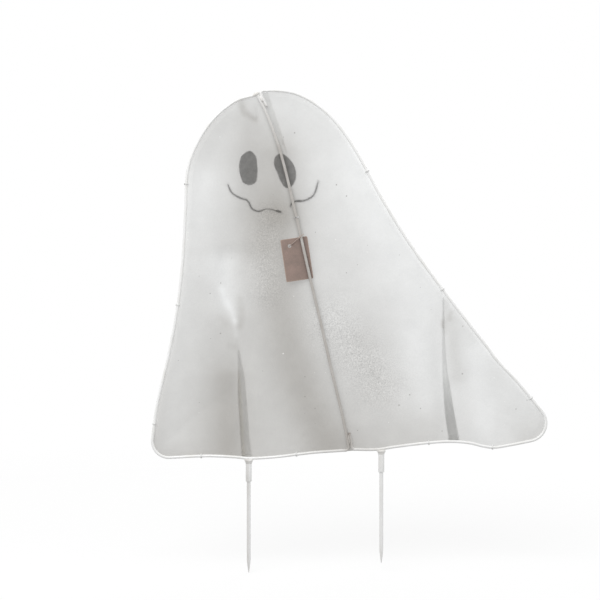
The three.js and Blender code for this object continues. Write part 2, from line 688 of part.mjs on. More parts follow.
const ghost = new THREE.Group();
ghost.add(
  part('left_loop_wire', asGeometry(wireSolid(leftWire)), whitePaint),
  part('right_bow_wire', asGeometry(wireSolid(rightWire)), whitePaint),
  part('top_weld', asGeometry(topWeld), whitePaint),
  part('upper_lap_weld', asGeometry(upperLapWeld), whitePaint),
  part('foot_weld', asGeometry(footWeld), whitePaint),
  leg('left', -STAKE_SPACING / 2),
  leg('right', STAKE_SPACING / 2),
  part('cover_sheet', asGeometry(coverSheet), cloth),
  part('left_eye', asGeometry(eye(LEFT_EYE)), darkFelt),
  part('right_eye', asGeometry(eye(RIGHT_EYE)), darkFelt),
  part('mouth_left', asGeometry(mouth(MOUTH_LEFT)), darkFelt),
  part('mouth_right', asGeometry(mouth(MOUTH_RIGHT)), darkFelt),
  ...edgeTiePlaces.map((tie, index) => part(`edge_tie_${index + 1}`, tieAt(tie), paleThread)),
  part('brace_tie', tieAt(braceTiePlace), paleThread),
  tagGroup(),
);

export default ghost;
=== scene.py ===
import math

import bmesh
import bpy
import numpy as np
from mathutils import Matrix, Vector, noise


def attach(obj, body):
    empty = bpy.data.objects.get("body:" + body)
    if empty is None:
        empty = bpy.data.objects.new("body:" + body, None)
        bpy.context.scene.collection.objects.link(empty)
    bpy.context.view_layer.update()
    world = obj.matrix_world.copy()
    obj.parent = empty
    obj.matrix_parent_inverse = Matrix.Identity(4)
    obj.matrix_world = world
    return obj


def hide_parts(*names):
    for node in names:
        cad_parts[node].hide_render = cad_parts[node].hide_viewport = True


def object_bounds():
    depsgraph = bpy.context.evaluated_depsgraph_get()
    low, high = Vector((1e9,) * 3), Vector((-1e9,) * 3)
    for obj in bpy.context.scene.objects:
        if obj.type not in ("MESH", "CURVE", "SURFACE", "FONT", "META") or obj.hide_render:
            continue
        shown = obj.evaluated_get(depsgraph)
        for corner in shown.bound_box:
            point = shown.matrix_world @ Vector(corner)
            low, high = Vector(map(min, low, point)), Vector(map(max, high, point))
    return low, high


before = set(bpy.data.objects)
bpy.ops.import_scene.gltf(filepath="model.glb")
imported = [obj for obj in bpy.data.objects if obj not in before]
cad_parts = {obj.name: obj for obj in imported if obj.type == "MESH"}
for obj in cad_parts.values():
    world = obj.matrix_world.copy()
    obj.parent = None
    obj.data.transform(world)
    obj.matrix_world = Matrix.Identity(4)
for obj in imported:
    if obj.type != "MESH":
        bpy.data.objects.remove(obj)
cad_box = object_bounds()

# Lengths are in millimetres until a mesh is made, and the ghost stands in the XZ plane
MM = 0.001
# Points closer than this, in metres, are merged
MERGE_REACH = 1e-7

# Wire frame
WIRE_RADIUS = 1.8
SEAT_GAP = 0.3
LAP_OFFSET = 2 * WIRE_RADIUS + SEAT_GAP
BUTT_GAP = 0.6
TIGHT_BEND = 4.0
LEFT_CORNER_BEND = 21.0
RIGHT_TIP_BEND = 23.0
UPPER_LAP = 21.0
LOWER_LAP = 17.0
RIGHT_TOP_RISE = 2.9
WIRE_STEP = 2.5
BEND_STEPS = 12
WIRE_SIDES = 20

BRACE_TOP = (-73.6, 487.5)
LEFT_EDGE = [
    (-97.7, 478.5), (-124, 458.8), (-145, 430.5), (-159.5, 394.4), (-163.3, 337.7),
    (-166.6, 277.2), (-173.4, 216.7), (-184.6, 156.2), (-198.5, 95.8),
]
LEFT_CORNER = (-208.5, 27.2)
LEFT_HEM = [(-136, 30.4), (-101, 29), (-83.5, 27.4), (-51.7, 29), (-3.8, 34.5)]
FOOT = (43.2, 37.8)
BRACE = [
    (37.4, 68.8), (21.4, 136), (7.6, 196.6), (-6.6, 256.5), (-24.6, 336.4), (-44.4, 415.8), (-62.7, 465.2),
]
RIGHT_EDGE = [
    (-47.9, 490.6), (-27.7, 487.8), (-7.6, 479.1), (15.9, 461.7), (34.4, 440.5), (54.4, 409.6),
    (85.3, 352.8), (123, 292.3), (167, 231.8), (213.9, 171.4), (231.2, 148.7), (252.9, 126), (278.2, 95.8),
]
RIGHT_TIP = (310.6, 57)
RIGHT_HEM = [
    (247.6, 44.5), (224.3, 41.1), (210.4, 43), (197.8, 46.2), (176.4, 48.4), (152.5, 47.8), (103.3, 42.3),
    (78, 38.6),
]

# Cloth
CLOTH_THICKNESS = 1.0
CLOTH_BACK = WIRE_RADIUS + SEAT_GAP
CLOTH_DEPTH = 12.0
FLAT_MARGIN = 7.0
EDGE_REACH = 90.0
BRACE_REACH = 70.0
BRACE_SHARE = 0.35
FOLD_WIDTH = 13.0
FOLD_HEIGHT = 6.0
FOLD_FADE = 40.0
CLOTH_COLUMNS = 210
CLOTH_ROWS = 230
LEFT_FOLD = [(-110, 285), (-114.7, 258.3), (-108.4, 218.4), (-99.5, 184), (-95, 160), (-90, 60)]
RIGHT_FOLD = [(163, 228), (159.5, 180), (162, 130), (172, 60)]
LEFT_PLEAT = (
    [(-98.3, 163), (-98.2, 131), (-98, 105.5), (-96.6, 80.3), (-94.6, 54.2), (-92.4, 29)],
    [(-96.6, 163), (-90, 131), (-87.4, 105.5), (-85.3, 80.3), (-83.1, 54.2), (-79.6, 29)],
)
RIGHT_PLEAT = (
    [(161.2, 230), (162, 180), (162.6, 140), (164, 110), (165.6, 80), (168.9, 49)],
    [(163, 230), (165.4, 180), (168.6, 140), (173.4, 110), (177.6, 80), (182, 49)],
)
TOP_PLEAT = (
    [(-65.5, 488.5), (-60, 468), (-51, 446), (-35.8, 412)],
    [(-59, 488.5), (-51, 464), (-43, 440), (-35.0, 412)],
)

# Face
LEFT_EYE = [
    (-82.3, 415.9), (-92.5, 409.9), (-96.1, 397.4), (-94.3, 383.6), (-90.6, 375.8), (-82.4, 372.9),
    (-75.2, 376.5), (-73.1, 385.4), (-73.2, 397.4), (-75, 408.9),
]
RIGHT_EYE = [
    (-43.6, 412.1), (-50.2, 407.6), (-51.6, 398.1), (-47.6, 388), (-43.1, 376.9), (-36.4, 368.8),
    (-29.1, 371.3), (-24.3, 381), (-25.5, 394.6), (-33.6, 406.6),
]
MOUTH_LEFT = [
    (-110.6, 373.7), (-105.4, 363), (-94.3, 356.2), (-85.6, 353), (-79.5, 342.6), (-71.4, 339.5),
    (-60.8, 342.3), (-42, 338.1),
]
MOUTH_RIGHT = [
    (-31, 344.1), (-29.5, 348.6), (-25.2, 351.5), (-14.1, 352.6), (-2, 359.6), (4.6, 377.8),
]
MOUTH_WIDTH = 2.0
# Each mouth line's width along its length, as shares of the length and of the width
MOUTH_SWELL = (
    ([0, 0.1, 0.6, 0.7, 0.76, 0.9, 0.95, 1], [0.9, 1.0, 1.0, 0.9, 0.5, 0.6, 1.9, 1.7]),
    ([0, 0.2, 0.25, 0.3, 0.36, 0.85, 1], [0.9, 0.9, 1.5, 1.4, 1.0, 0.95, 0.85]),
)
FELT_THICKNESS = 1.0

# Stakes
STAKE_SPACING = 167.0
STAKE_RADIUS = 2.5
STAKE_LENGTH = 140.0
STAKE_POINT = 16.0
SOCKET_LENGTH = 27.0
SOCKET_END = 1.5
BORE_RADIUS = 2.8
SOCKET_RADIUS = 3.8

# Tag and thread
THREAD_RADIUS = 0.4
TIES_PER_EDGE = 3
LAST_TIE_SHORTFALL = 0.12
HEM_TIE_FROM_STAKE = 60.0
WING_TIE_FROM_TIP = 87.0
BRACE_TIE_ABOVE_KNOT = 24.0
TAG_WIDTH = 34.4
TAG_HEIGHT = 53.8
TAG_THICKNESS = 0.8
TAG_CORNER = 1.5
TAG_HOLE = 2.2
HOLE_FROM_TOP = 9.2
HOLE_FROM_LEFT = 10.5
TAG_TILT = math.radians(8.5)
TAG_KNOT_HEIGHT = 307.0
KNOT_TO_HOLE = 18.7
STRING_DROP = math.radians(40.4)
KNOT_RADIUS = 1.2
STRING_SLACK = 1.8


# Lines in the plane of the wires

def lengths(line):
    """How far along a line each of its points is."""
    steps = np.linalg.norm(np.diff(line, axis=0), axis=1)
    return np.concatenate([[0.0], np.cumsum(steps)])


def point_at(line, share):
    """Points of a line at shares of its length."""
    far = lengths(line)
    where = np.asarray(share, float) * far[-1]
    return np.stack([np.interp(where, far, line[:, i]) for i in range(line.shape[1])], axis=-1)


def curve(points, closed=False, dense=24):
    """A smooth curve through the points, paced by the square root of their gaps."""
    p = np.asarray(points, float)
    if closed:
        p = np.vstack([p[-1], p, p[0], p[1]])
    else:
        p = np.vstack([2 * p[0] - p[1], p, 2 * p[-1] - p[-2]])
    run = []
    for a, b, c, d in zip(p[:-3], p[1:-2], p[2:-1], p[3:]):
        k0, k1, k2 = (max(np.linalg.norm(v) ** 0.5, 1e-4) for v in (b - a, c - b, d - c))
        m1 = ((b - a) / k0 - (c - a) / (k0 + k1) + (c - b) / k1) * k1
        m2 = ((c - b) / k1 - (d - b) / (k1 + k2) + (d - c) / k2) * k1
        t = np.linspace(0, 1, dense, endpoint=False)[:, None]
        run.append((2 * t**3 - 3 * t**2 + 1) * b + (t**3 - 2 * t**2 + t) * m1
                   + (3 * t**2 - 2 * t**3) * c + (t**3 - t**2) * m2)
    return np.vstack(run + [p[-2:-1]])


def smooth_run(points):
    """A curve through the points, in even steps."""
    dense = curve(points)
    count = max(1, round(lengths(dense)[-1] / WIRE_STEP))
    return point_at(dense, np.linspace(0, 1, count + 1))


def unit(v):
    """A vector made one long."""
    return v / np.linalg.norm(v)


def bend(before, corner, after, radius):
    """The arc that rounds a corner of the wire."""
    before, corner, after = (np.asarray(p, float) for p in (before, corner, after))
    back, ahead = unit(before - corner), unit(after - corner)
    half = math.acos(np.clip(back @ ahead, -1, 1)) / 2
    centre = corner + unit(back + ahead) * radius / math.sin(half)
    arm = corner + back * radius / math.tan(half) - centre
    last = corner + ahead * radius / math.tan(half) - centre
    turn = math.atan2(arm[0] * last[1] - arm[1] * last[0], arm @ last)
    angles = np.linspace(0, turn, BEND_STEPS + 1)
    x = centre[0] + arm[0] * np.cos(angles) - arm[1] * np.sin(angles)
    z = centre[1] + arm[0] * np.sin(angles) + arm[1] * np.cos(angles)
    return np.stack([x, z], axis=1)


def bent_wire(runs, radii):
    """A wire's runs and the bends between them, in order."""
    bends = [bend(a[-2], a[-1], b[1], r) for a, b, r in zip(runs, runs[1:], radii)]
    stretches = []
    for i, run in enumerate(runs):
        points = [np.asarray(p, float) for p in run]
        if i > 0:
            points[0] = bends[i - 1][-1]
        if i < len(bends):
            points[-1] = bends[i][0]
        stretches.append(smooth_run(points))
        if i < len(bends):
            stretches.append(bends[i])
    return stretches


def joined(stretches):
    """Stretches that meet end to end, as one line."""
    return np.vstack([stretches[0]] + [s[1:] for s in stretches[1:]])


def offset(line, distance):
    """A line moved sideways, to the right of the way it runs."""
    along = np.empty_like(line)
    along[1:-1] = line[2:] - line[:-2]
    along[0], along[-1] = line[1] - line[0], line[-1] - line[-2]
    along /= np.linalg.norm(along, axis=1)[:, None]
    return line + distance * np.stack([along[:, 1], -along[:, 0]], axis=1)


def at_height(line, height):
    """The first point of a line at a height."""
    i = next(i for i in range(1, len(line)) if (line[i][1] - height) * (line[i - 1][1] - height) <= 0)
    share = (height - line[i - 1][1]) / (line[i][1] - line[i - 1][1])
    return line[i - 1] + share * (line[i] - line[i - 1])


def distance(line, points):
    """Distance from each of many points to a line."""
    least = np.full(len(points), np.inf)
    for a, b in zip(line, line[1:]):
        span = b - a
        size = span @ span
        if size == 0:
            continue
        share = np.clip(((points - a) @ span) / size, 0, 1)
        gap = points - a - share[:, None] * span
        least = np.minimum(least, np.einsum("ij,ij->i", gap, gap))
    return np.sqrt(least)


# The two wires

brace_run = [FOOT, *BRACE, BRACE_TOP]
top_way = unit(np.subtract(BRACE_TOP, BRACE[-1]))
across_top = np.array([-top_way[1], top_way[0]])
left_start = np.array(BRACE_TOP) - top_way * WIRE_RADIUS + across_top * (WIRE_RADIUS + BUTT_GAP)
left_stretches = bent_wire(
    [[left_start, *LEFT_EDGE, LEFT_CORNER], [LEFT_CORNER, *LEFT_HEM, FOOT], brace_run],
    [LEFT_CORNER_BEND, TIGHT_BEND],
)
left_edge, left_corner, left_hem, _, brace = left_stretches

beside = offset(brace, LAP_OFFSET)
beside_length = lengths(beside)[-1]
upper_lap_end = point_at(beside, 1 - UPPER_LAP / beside_length)
lower_lap_end = point_at(beside, LOWER_LAP / beside_length)
upper_way = unit(beside[-1] - upper_lap_end)
right_top = upper_lap_end + upper_way * (brace[-1][1] + RIGHT_TOP_RISE - upper_lap_end[1]) / upper_way[1]
lower_way = unit(lower_lap_end - beside[0])
right_foot = lower_lap_end + lower_way * (RIGHT_HEM[-1][1] - lower_lap_end[1]) / lower_way[1]
right_stretches = bent_wire(
    [[upper_lap_end, right_top], [right_top, *RIGHT_EDGE, RIGHT_TIP],
     [RIGHT_TIP, *RIGHT_HEM, right_foot], [right_foot, lower_lap_end]],
    [TIGHT_BEND, RIGHT_TIP_BEND, TIGHT_BEND],
)
_, _, right_edge, right_tip, right_hem = right_stretches[:5]

half_bend = BEND_STEPS // 2
cloth_left = offset(np.vstack([left_edge, left_corner[1:half_bend + 1]]), WIRE_RADIUS)
cloth_right = offset(np.vstack([right_edge, right_tip[1:half_bend + 1]]), -WIRE_RADIUS)
hem_line = np.vstack([
    left_corner[half_bend:], left_hem[1:], right_hem[:-1][::-1], right_tip[half_bend:-1][::-1],
])
cloth_hem = offset(hem_line, WIRE_RADIUS)
outline = np.vstack([left_edge, left_corner, hem_line, joined([right_edge, right_tip])[::-1]])


# The lie of the cloth

def nearest_on(line, points):
    """How far each point is from a line, and at which share of the line's length."""
    gaps = np.linalg.norm(points[:, None, :] - line[None, :, :], axis=2)
    index = gaps.argmin(axis=1)
    return gaps[np.arange(len(points)), index], (lengths(line) / lengths(line)[-1])[index]


def rise(share):
    """0 to 1, steep at first and level at the end."""
    return 1 - (1 - np.clip(share, 0, 1)) ** 2


def soft_noise(points, size, seed):
    """Soft random bumps over the plane, of about the given size."""
    return np.array([noise.noise(Vector((x / size, seed, z / size))) for x, z in points])


def fading(away, reach):
    """1 at no distance, fading to 0 beyond the reach."""
    return np.exp(-(away / reach) ** 2)


def ridge(points, line, reach):
    """1 on a line, fading to 0 beyond its reach on both sides."""
    return fading(distance(curve(line), points), reach)


# The cloth's uneven slack, as soft bumps: how high, how big, and a seed
SLACK = ((0.9, 46, 3.1), (0.35, 17, 8.4))
SLACK_FADE = 24.0
# The small crumple at the top, and the creases: the line each follows, its reach and its height
CRUMPLE = [(-92, 478), (-89, 466), (-83, 459), (-75, 454.5), (-71, 458), (-73, 470)]
CRUMPLE_REACH, CRUMPLE_HEIGHT = 3.2, 1.6
CREASES = [
    ([(-114.7, 258.3), (-106, 210), (-97, 196), (-94.6, 172)], 5.0, 0.9),
    ([(-150, 214), (-118, 160), (-112, 96)], 15.0, 1.1),
    ([(-36, 250), (-24, 180), (-6, 96)], 22.0, -1.2),
    ([(36, 300), (60, 210), (84, 120)], 26.0, 1.3),
    ([(182, 190), (196, 140), (204, 86)], 10.0, 1.2),
    ([(206, 160), (234, 112), (250, 70)], 12.0, -1.0),
    ([(-140, 404), (-122, 430), (-104, 452)], 12.0, 1.0),
    ([(-14, 466), (-6, 430), (18, 390)], 18.0, 0.9),
]


def cloth_height(points, relief=True):
    """How far the cloth's back stands from the plane of the wires."""
    inside = distance(outline, points) - FLAT_MARGIN
    from_brace = rise(distance(brace, points) / BRACE_REACH)
    belly = CLOTH_DEPTH * rise(inside / EDGE_REACH) * (BRACE_SHARE + (1 - BRACE_SHARE) * from_brace)
    folds = sum(FOLD_HEIGHT * ridge(points, line, FOLD_WIDTH) for line in (LEFT_FOLD, RIGHT_FOLD))
    height = CLOTH_BACK + belly + folds * rise(inside / FOLD_FADE)
    if not relief:
        return height
    slack = sum(high * soft_noise(points, size, seed) for high, size, seed in SLACK)
    slack += CRUMPLE_HEIGHT * ridge(points, CRUMPLE, CRUMPLE_REACH)
    slack += sum(high * ridge(points, line, reach) for line, reach, high in CREASES)
    return height + slack * rise(inside / SLACK_FADE)


def heights_of(points):
    """The cloth's height at one point or many."""
    return cloth_height(np.atleast_2d(points))


# Meshes

def make_piece(name, vertices, faces, material, smooth=True):
    """A new piece from points in millimetres."""
    mesh = bpy.data.meshes.new(name)
    mesh.from_pydata([tuple(v) for v in np.asarray(vertices) * MM], [], [tuple(f) for f in faces])
    mesh.update()
    if smooth:
        mesh.polygons.foreach_set("use_smooth", [True] * len(mesh.polygons))
    mesh.materials.append(material)
    piece = bpy.data.objects.new(name, mesh)
    bpy.context.collection.objects.link(piece)
    return piece


def band(a, b, count):
    """The faces between two closed rings of points, which start at the points a and b."""
    nexts = [(k + 1) % count for k in range(count)]
    return [(a + k, a + m, b + m, b + k) for k, m in enumerate(nexts)]


def in_space(line):
    """A line of the wires' plane as points in space."""
    return np.stack([line[:, 0], np.zeros(len(line)), line[:, 1]], axis=1)


def mark(piece, name, rule):
    """Stores a rule's one or two values at each point of a piece, for its material to read as X and Y."""
    spots = np.array([v.co[:] for v in piece.data.vertices])[:, [0, 2]] / MM
    values = np.zeros((len(spots), 3))
    for axis, value in enumerate(rule(spots)):
        values[:, axis] = value
    layer = piece.data.attributes.new(name, "FLOAT_VECTOR", "POINT")
    layer.data.foreach_set("vector", values.ravel())


def tube(name, path, radius, sides, material, rim=0.25):
    """A round wire along a path, with its ends rounded over by the rim."""
    steps = np.gradient(path, axis=0)
    tangents = steps / np.linalg.norm(steps, axis=1)[:, None]
    side = np.array([0.0, 1.0, 0.0])
    rings = []
    last = len(path) - 1
    whole = [(i, radius) for i in range(len(path))]
    stations = [(0, 0.0), (0, radius - rim), *whole, (last, radius - rim), (last, 0.0)]
    for order, (i, ring_radius) in enumerate(stations):
        ahead = tangents[i]
        side = unit(side - (side @ ahead) * ahead)
        up = np.cross(ahead, side)
        pull = 0.0
        if 1 < order < len(stations) - 2 and i in (0, last):
            pull = rim if i == 0 else -rim
        if ring_radius == 0:
            rings.append(path[i][None, :])
            continue
        angles = np.arange(sides) * 2 * math.pi / sides
        out = np.cos(angles)[:, None] * side + np.sin(angles)[:, None] * up
        rings.append(path[i] + pull * ahead + ring_radius * out)
    starts = np.concatenate([[0], np.cumsum([len(r) for r in rings])])
    faces = []
    for n in range(len(rings) - 1):
        a, b = starts[n], starts[n + 1]
        for k in range(sides):
            m = (k + 1) % sides
            if len(rings[n]) == 1:
                faces.append((a, b + m, b + k))
            elif len(rings[n + 1]) == 1:
                faces.append((a + k, a + m, b))
            else:
                faces.append((a + k, a + m, b + m, b + k))
    return face_out(make_piece(name, np.vstack(rings), faces, material))


def face_out(piece):
    """Points a closed piece's faces outwards."""
    work = bmesh.new()
    work.from_mesh(piece.data)
    bmesh.ops.remove_doubles(work, verts=work.verts, dist=MERGE_REACH)
    bmesh.ops.recalc_face_normals(work, faces=work.faces)
    work.to_mesh(piece.data)
    work.free()
    return piece


TURNED_SIDES = 48


def turned(name, profile, place, material):
    """A lathe-turned piece about a vertical axis, from (radius, height) points on a closed profile."""
    vertices, faces, rows = [], [], []
    for radius, height in profile:
        rows.append(len(vertices))
        count = 1 if radius == 0 else TURNED_SIDES
        for k in range(count):
            angle = 2 * math.pi * k / TURNED_SIDES
            x, y = radius * math.cos(angle), radius * math.sin(angle)
            vertices.append((place[0] + x, y, place[1] + height))
    for n in range(len(profile) - 1):
        a, b = rows[n], rows[n + 1]
        for k in range(TURNED_SIDES):
            m = (k + 1) % TURNED_SIDES
            if profile[n][0] == 0:
                faces.append((a, b + k, b + m))
            elif profile[n + 1][0] == 0:
                faces.append((a + k, b, a + m))
            else:
                faces.append((a + k, b + k, b + m, a + m))
    return face_out(make_piece(name, vertices, faces, material))


# A weld bead's rings and sides, its ripples along the joint, and its lumps
BEAD_RINGS, BEAD_SIDES = 22, 28
RIPPLE_HEIGHT, RIPPLES = 0.06, 9
LUMP_HEIGHT, LUMP_SCALE = 0.10, 2.2


def weld_bead(name, place, along, length, width, depth, forward, material):
    """A rippled weld bead: an uneven nugget that lies along the joint."""
    way = np.array([along[0], 0, along[1]])
    way /= np.linalg.norm(way)
    out = np.array([0, 1, 0])
    across = np.cross(way, out)
    middle = np.array([place[0], -forward, place[1]])
    vertices, faces = [], []
    for i in range(BEAD_RINGS + 1):
        tilt = math.pi * i / BEAD_RINGS
        for k in range(BEAD_SIDES):
            turn = 2 * math.pi * k / BEAD_SIDES
            x, y, z = math.cos(tilt), math.sin(tilt) * math.cos(turn), math.sin(tilt) * math.sin(turn)
            lump = noise.noise(Vector((x * LUMP_SCALE, y * LUMP_SCALE, z * LUMP_SCALE + length)))
            ripple = 1 + RIPPLE_HEIGHT * math.sin(RIPPLES * x) + LUMP_HEIGHT * lump
            spot = x * length / 2 * way + y * depth * out + z * width / 2 * across
            vertices.append(middle + ripple * spot)
    for i in range(BEAD_RINGS):
        for k in range(BEAD_SIDES):
            m = (k + 1) % BEAD_SIDES
            a, b = i * BEAD_SIDES, (i + 1) * BEAD_SIDES
            faces.append((a + k, b + k, b + m, a + m))
    return face_out(make_piece(name, vertices, faces, material))


# Shared material effects

def effect(name, inputs, outputs, tree="ShaderNodeTree"):
    """A node group, what it is given, and where its results go."""
    group = bpy.data.node_groups.new(name, tree)
    for label, kind, value in inputs:
        socket = group.interface.new_socket(name=label, in_out="INPUT", socket_type=kind)
        if value is not None:
            socket.default_value = value
    for label, kind in outputs:
        group.interface.new_socket(name=label, in_out="OUTPUT", socket_type=kind)
    start, end = group.nodes.new("NodeGroupInput"), group.nodes.new("NodeGroupOutput")
    return group, start.outputs, end.inputs


class Wiring:
    """Short ways to add nodes to one tree and to join them."""

    def __init__(self, tree):
        self.tree = tree

    def add(self, kind, **settings):
        """A new node with settings of its own."""
        node = self.tree.nodes.new(kind)
        for key, value in settings.items():
            setattr(node, key, value)
        return node

    def join(self, source, target):
        """Link an output to an input."""
        self.tree.links.new(source, target)

    def feed(self, value, socket):
        """Give a socket a plain value or another node's output."""
        if isinstance(value, (int, float, tuple)):
            socket.default_value = value
        else:
            self.join(value, socket)

    def maths(self, operation, a, b=None, c=None, clamp=False):
        """The result of a sum on plain values or other nodes' outputs."""
        node = self.add("ShaderNodeMath", operation=operation, use_clamp=clamp)
        for value, socket in zip((a, b, c), node.inputs):
            if value is not None:
                self.feed(value, socket)
        return node.outputs[0]

    def noise(self, vector, scale, detail=3.0, roughness=0.5):
        """Soft noise at a vector."""
        node = self.add("ShaderNodeTexNoise")
        self.join(vector, node.inputs["Vector"])
        self.feed(scale, node.inputs["Scale"])
        self.feed(detail, node.inputs["Detail"])
        self.feed(roughness, node.inputs["Roughness"])
        return node.outputs["Fac"]

    def remap(self, value, ends, to=(0.0, 1.0)):
        """Map a value's range between two ends to another range, and stop at its ends."""
        node = self.add("ShaderNodeMapRange")
        self.join(value, node.inputs["Value"])
        for label, amount in zip(("From Min", "From Max", "To Min", "To Max"), (*ends, *to)):
            self.feed(amount, node.inputs[label])
        return node.outputs["Result"]

    def blend(self, amount, a, b, mode="MIX"):
        """Blend two colours, each a tuple or another node's output."""
        node = self.add("ShaderNodeMix", data_type="RGBA", blend_type=mode)
        self.feed(amount, node.inputs[0])
        for value, socket in ((a, node.inputs[6]), (b, node.inputs[7])):
            if isinstance(value, tuple):
                socket.default_value = (*value, 1.0)
            else:
                self.join(value, socket)
        return node.outputs[2]

    def parts(self, vector):
        """A vector's X, Y and Z."""
        node = self.add("ShaderNodeSeparateXYZ")
        self.join(vector, node.inputs[0])
        return node.outputs

    def marked(self, name):
        """The X, Y and Z that a piece's points carry under a name."""
        return self.parts(self.add("ShaderNodeAttribute", attribute_name=name).outputs["Vector"])

    def vector(self, **values):
        """A vector from its X, Y or Z, with 0 for those that aren't given."""
        node = self.add("ShaderNodeCombineXYZ")
        for label, value in values.items():
            self.feed(value, node.inputs[label])
        return node.outputs[0]

    def mix_shaders(self, amount, a, b):
        """A blend of two shaders, with this amount of the second."""
        node = self.add("ShaderNodeMixShader")
        self.feed(amount, node.inputs[0])
        self.join(a.outputs[0], node.inputs[1])
        self.join(b.outputs[0], node.inputs[2])
        return node

    def bump(self, height, strength, far):
        """Normals for a relief that is this many metres high."""
        node = self.add("ShaderNodeBump")
        node.inputs["Strength"].default_value = strength
        node.inputs["Distance"].default_value = far
        self.join(height, node.inputs["Height"])
        return node.outputs["Normal"]


def weave_effect():
    """Plain weave: thread relief and how much each spot lets through."""
    group, given, result = effect(
        "plain_weave",
        [("Vector", "NodeSocketVector", None), ("Thread Pitch", "NodeSocketFloat", 0.0009)],
        [("Height", "NodeSocketFloat"), ("Cover", "NodeSocketFloat")],
    )
    w = Wiring(group)
    axes = w.parts(given["Vector"])
    turns = w.maths("DIVIDE", 2 * math.pi, given["Thread Pitch"])
    warp = w.maths("SINE", w.maths("MULTIPLY", axes["X"], turns))
    weft = w.maths("SINE", w.maths("MULTIPLY", axes["Z"], turns))
    w.join(w.maths("MULTIPLY", warp, weft), result["Height"])
    thin = w.noise(given["Vector"], scale=150.0, detail=4.0, roughness=0.7)
    w.join(w.remap(thin, (0.25, 0.8), to=(0.84, 0.97)), result["Cover"])
    return group


def fibre_effect():
    """Matted fibres: uneven tone and a fuzzy relief."""
    group, given, result = effect(
        "matted_fibre",
        [("Vector", "NodeSocketVector", None), ("Scale", "NodeSocketFloat", 900.0)],
        [("Tone", "NodeSocketFloat"), ("Height", "NodeSocketFloat")],
    )
    w = Wiring(group)
    broad = w.noise(given["Vector"], scale=60.0, detail=3.0, roughness=0.6)
    fine = w.noise(given["Vector"], scale=given["Scale"], detail=4.0, roughness=0.7)
    tone = w.maths("ADD", w.maths("MULTIPLY", broad, 0.6), w.maths("MULTIPLY", fine, 0.4))
    w.join(tone, result["Tone"])
    w.join(fine, result["Height"])
    return group


def enamel_effect():
    """Brushed-on enamel: uneven film, a warm cast underneath, small chips to the steel."""
    group, given, result = effect(
        "enamel_film",
        [("Vector", "NodeSocketVector", None)],
        [("Film", "NodeSocketFloat"), ("Chips", "NodeSocketFloat"), ("Height", "NodeSocketFloat")],
    )
    w = Wiring(group)
    film = w.noise(given["Vector"], scale=55.0, detail=4.0, roughness=0.6)
    peel = w.noise(given["Vector"], scale=700.0, detail=2.0, roughness=0.5)
    spots = w.noise(given["Vector"], scale=210.0, detail=5.0, roughness=0.75)
    w.join(film, result["Film"])
    w.join(w.remap(spots, (0.735, 0.775)), result["Chips"])
    height = w.maths("ADD", w.maths("MULTIPLY", film, 0.6), w.maths("MULTIPLY", peel, 0.4))
    w.join(height, result["Height"])
    return group


def speck_effect():
    """Scattered specks on a flat cloth: dark ones in a share of the cells, and light ones in half as many."""
    group, given, result = effect(
        "fine_specks",
        [("Vector", "NodeSocketVector", None), ("Scale", "NodeSocketFloat", 80.0),
         ("Share", "NodeSocketFloat", 0.1), ("Size", "NodeSocketFloat", 0.05)],
        [("Dark", "NodeSocketFloat"), ("Light", "NodeSocketFloat")],
    )
    w = Wiring(group)
    axes = w.parts(given["Vector"])
    cells = w.add("ShaderNodeTexVoronoi", voronoi_dimensions="2D")
    w.join(w.vector(X=axes["X"], Y=axes["Z"]), cells.inputs["Vector"])
    w.join(given["Scale"], cells.inputs["Scale"])
    chance = w.parts(cells.outputs["Color"])
    size = w.maths("MULTIPLY", given["Size"], w.maths("ADD", chance["Y"], 0.5))
    near = w.maths("LESS_THAN", cells.outputs["Distance"], size)
    dark = w.maths("LESS_THAN", chance["X"], given["Share"])
    light_from = w.maths("MULTIPLY_ADD", given["Share"], -0.5, 1.0)
    light = w.maths("GREATER_THAN", chance["X"], light_from)
    w.join(w.maths("MULTIPLY", near, dark), result["Dark"])
    w.join(w.maths("MULTIPLY", near, light), result["Light"])
    return group


specks = speck_effect()
weave = weave_effect()
fibre = fibre_effect()
enamel = enamel_effect()


# Colours of the finishes
ENAMEL, ENAMEL_CAST = (0.93, 0.93, 0.925), (0.86, 0.855, 0.83)
LEG_CAST = (0.87, 0.865, 0.845)
WELD_ENAMEL, WELD_CAST = (0.90, 0.89, 0.87), (0.78, 0.76, 0.72)
SHADED_ENAMEL = (0.47, 0.445, 0.415)
BARE_STEEL = (0.21, 0.17, 0.145)
FELT_DARK, FELT_LIGHT = (0.012, 0.012, 0.013), (0.045, 0.043, 0.042)
FELT_SHADOW_TONE = (0.16, 0.155, 0.15)
DARK_SPECK, LIGHT_SPECK = (0.22, 0.21, 0.19), (0.92, 0.92, 0.90)
CARD_DARK, CARD_LIGHT = (0.25, 0.195, 0.168), (0.37, 0.268, 0.232)
CARD_EDGE, CARD_SHADE = (0.56, 0.43, 0.34), (0.16, 0.125, 0.11)
COTTON_DARK, COTTON_LIGHT = (0.38, 0.31, 0.27), (0.56, 0.46, 0.41)
WHITE_THREAD, DARKENED_THREAD = (0.86, 0.86, 0.85), (0.16, 0.155, 0.15)

# How strongly the cloth shows its grain and its specks, and how much of its light comes through it
GRAIN_STRENGTH = 0.5
DARK_SPECK_STRENGTH, LIGHT_SPECK_STRENGTH = 0.55, 0.6
TRANSLUCENT_SHARE = 0.5


def material(name):
    """A new material, with its wiring, its shader and the object coordinates."""
    made = bpy.data.materials.new(name)
    made.use_nodes = True
    w = Wiring(made.node_tree)
    shader = made.node_tree.nodes["Principled BSDF"]
    where = w.add("ShaderNodeTexCoord").outputs["Object"]
    return made, w, shader, where


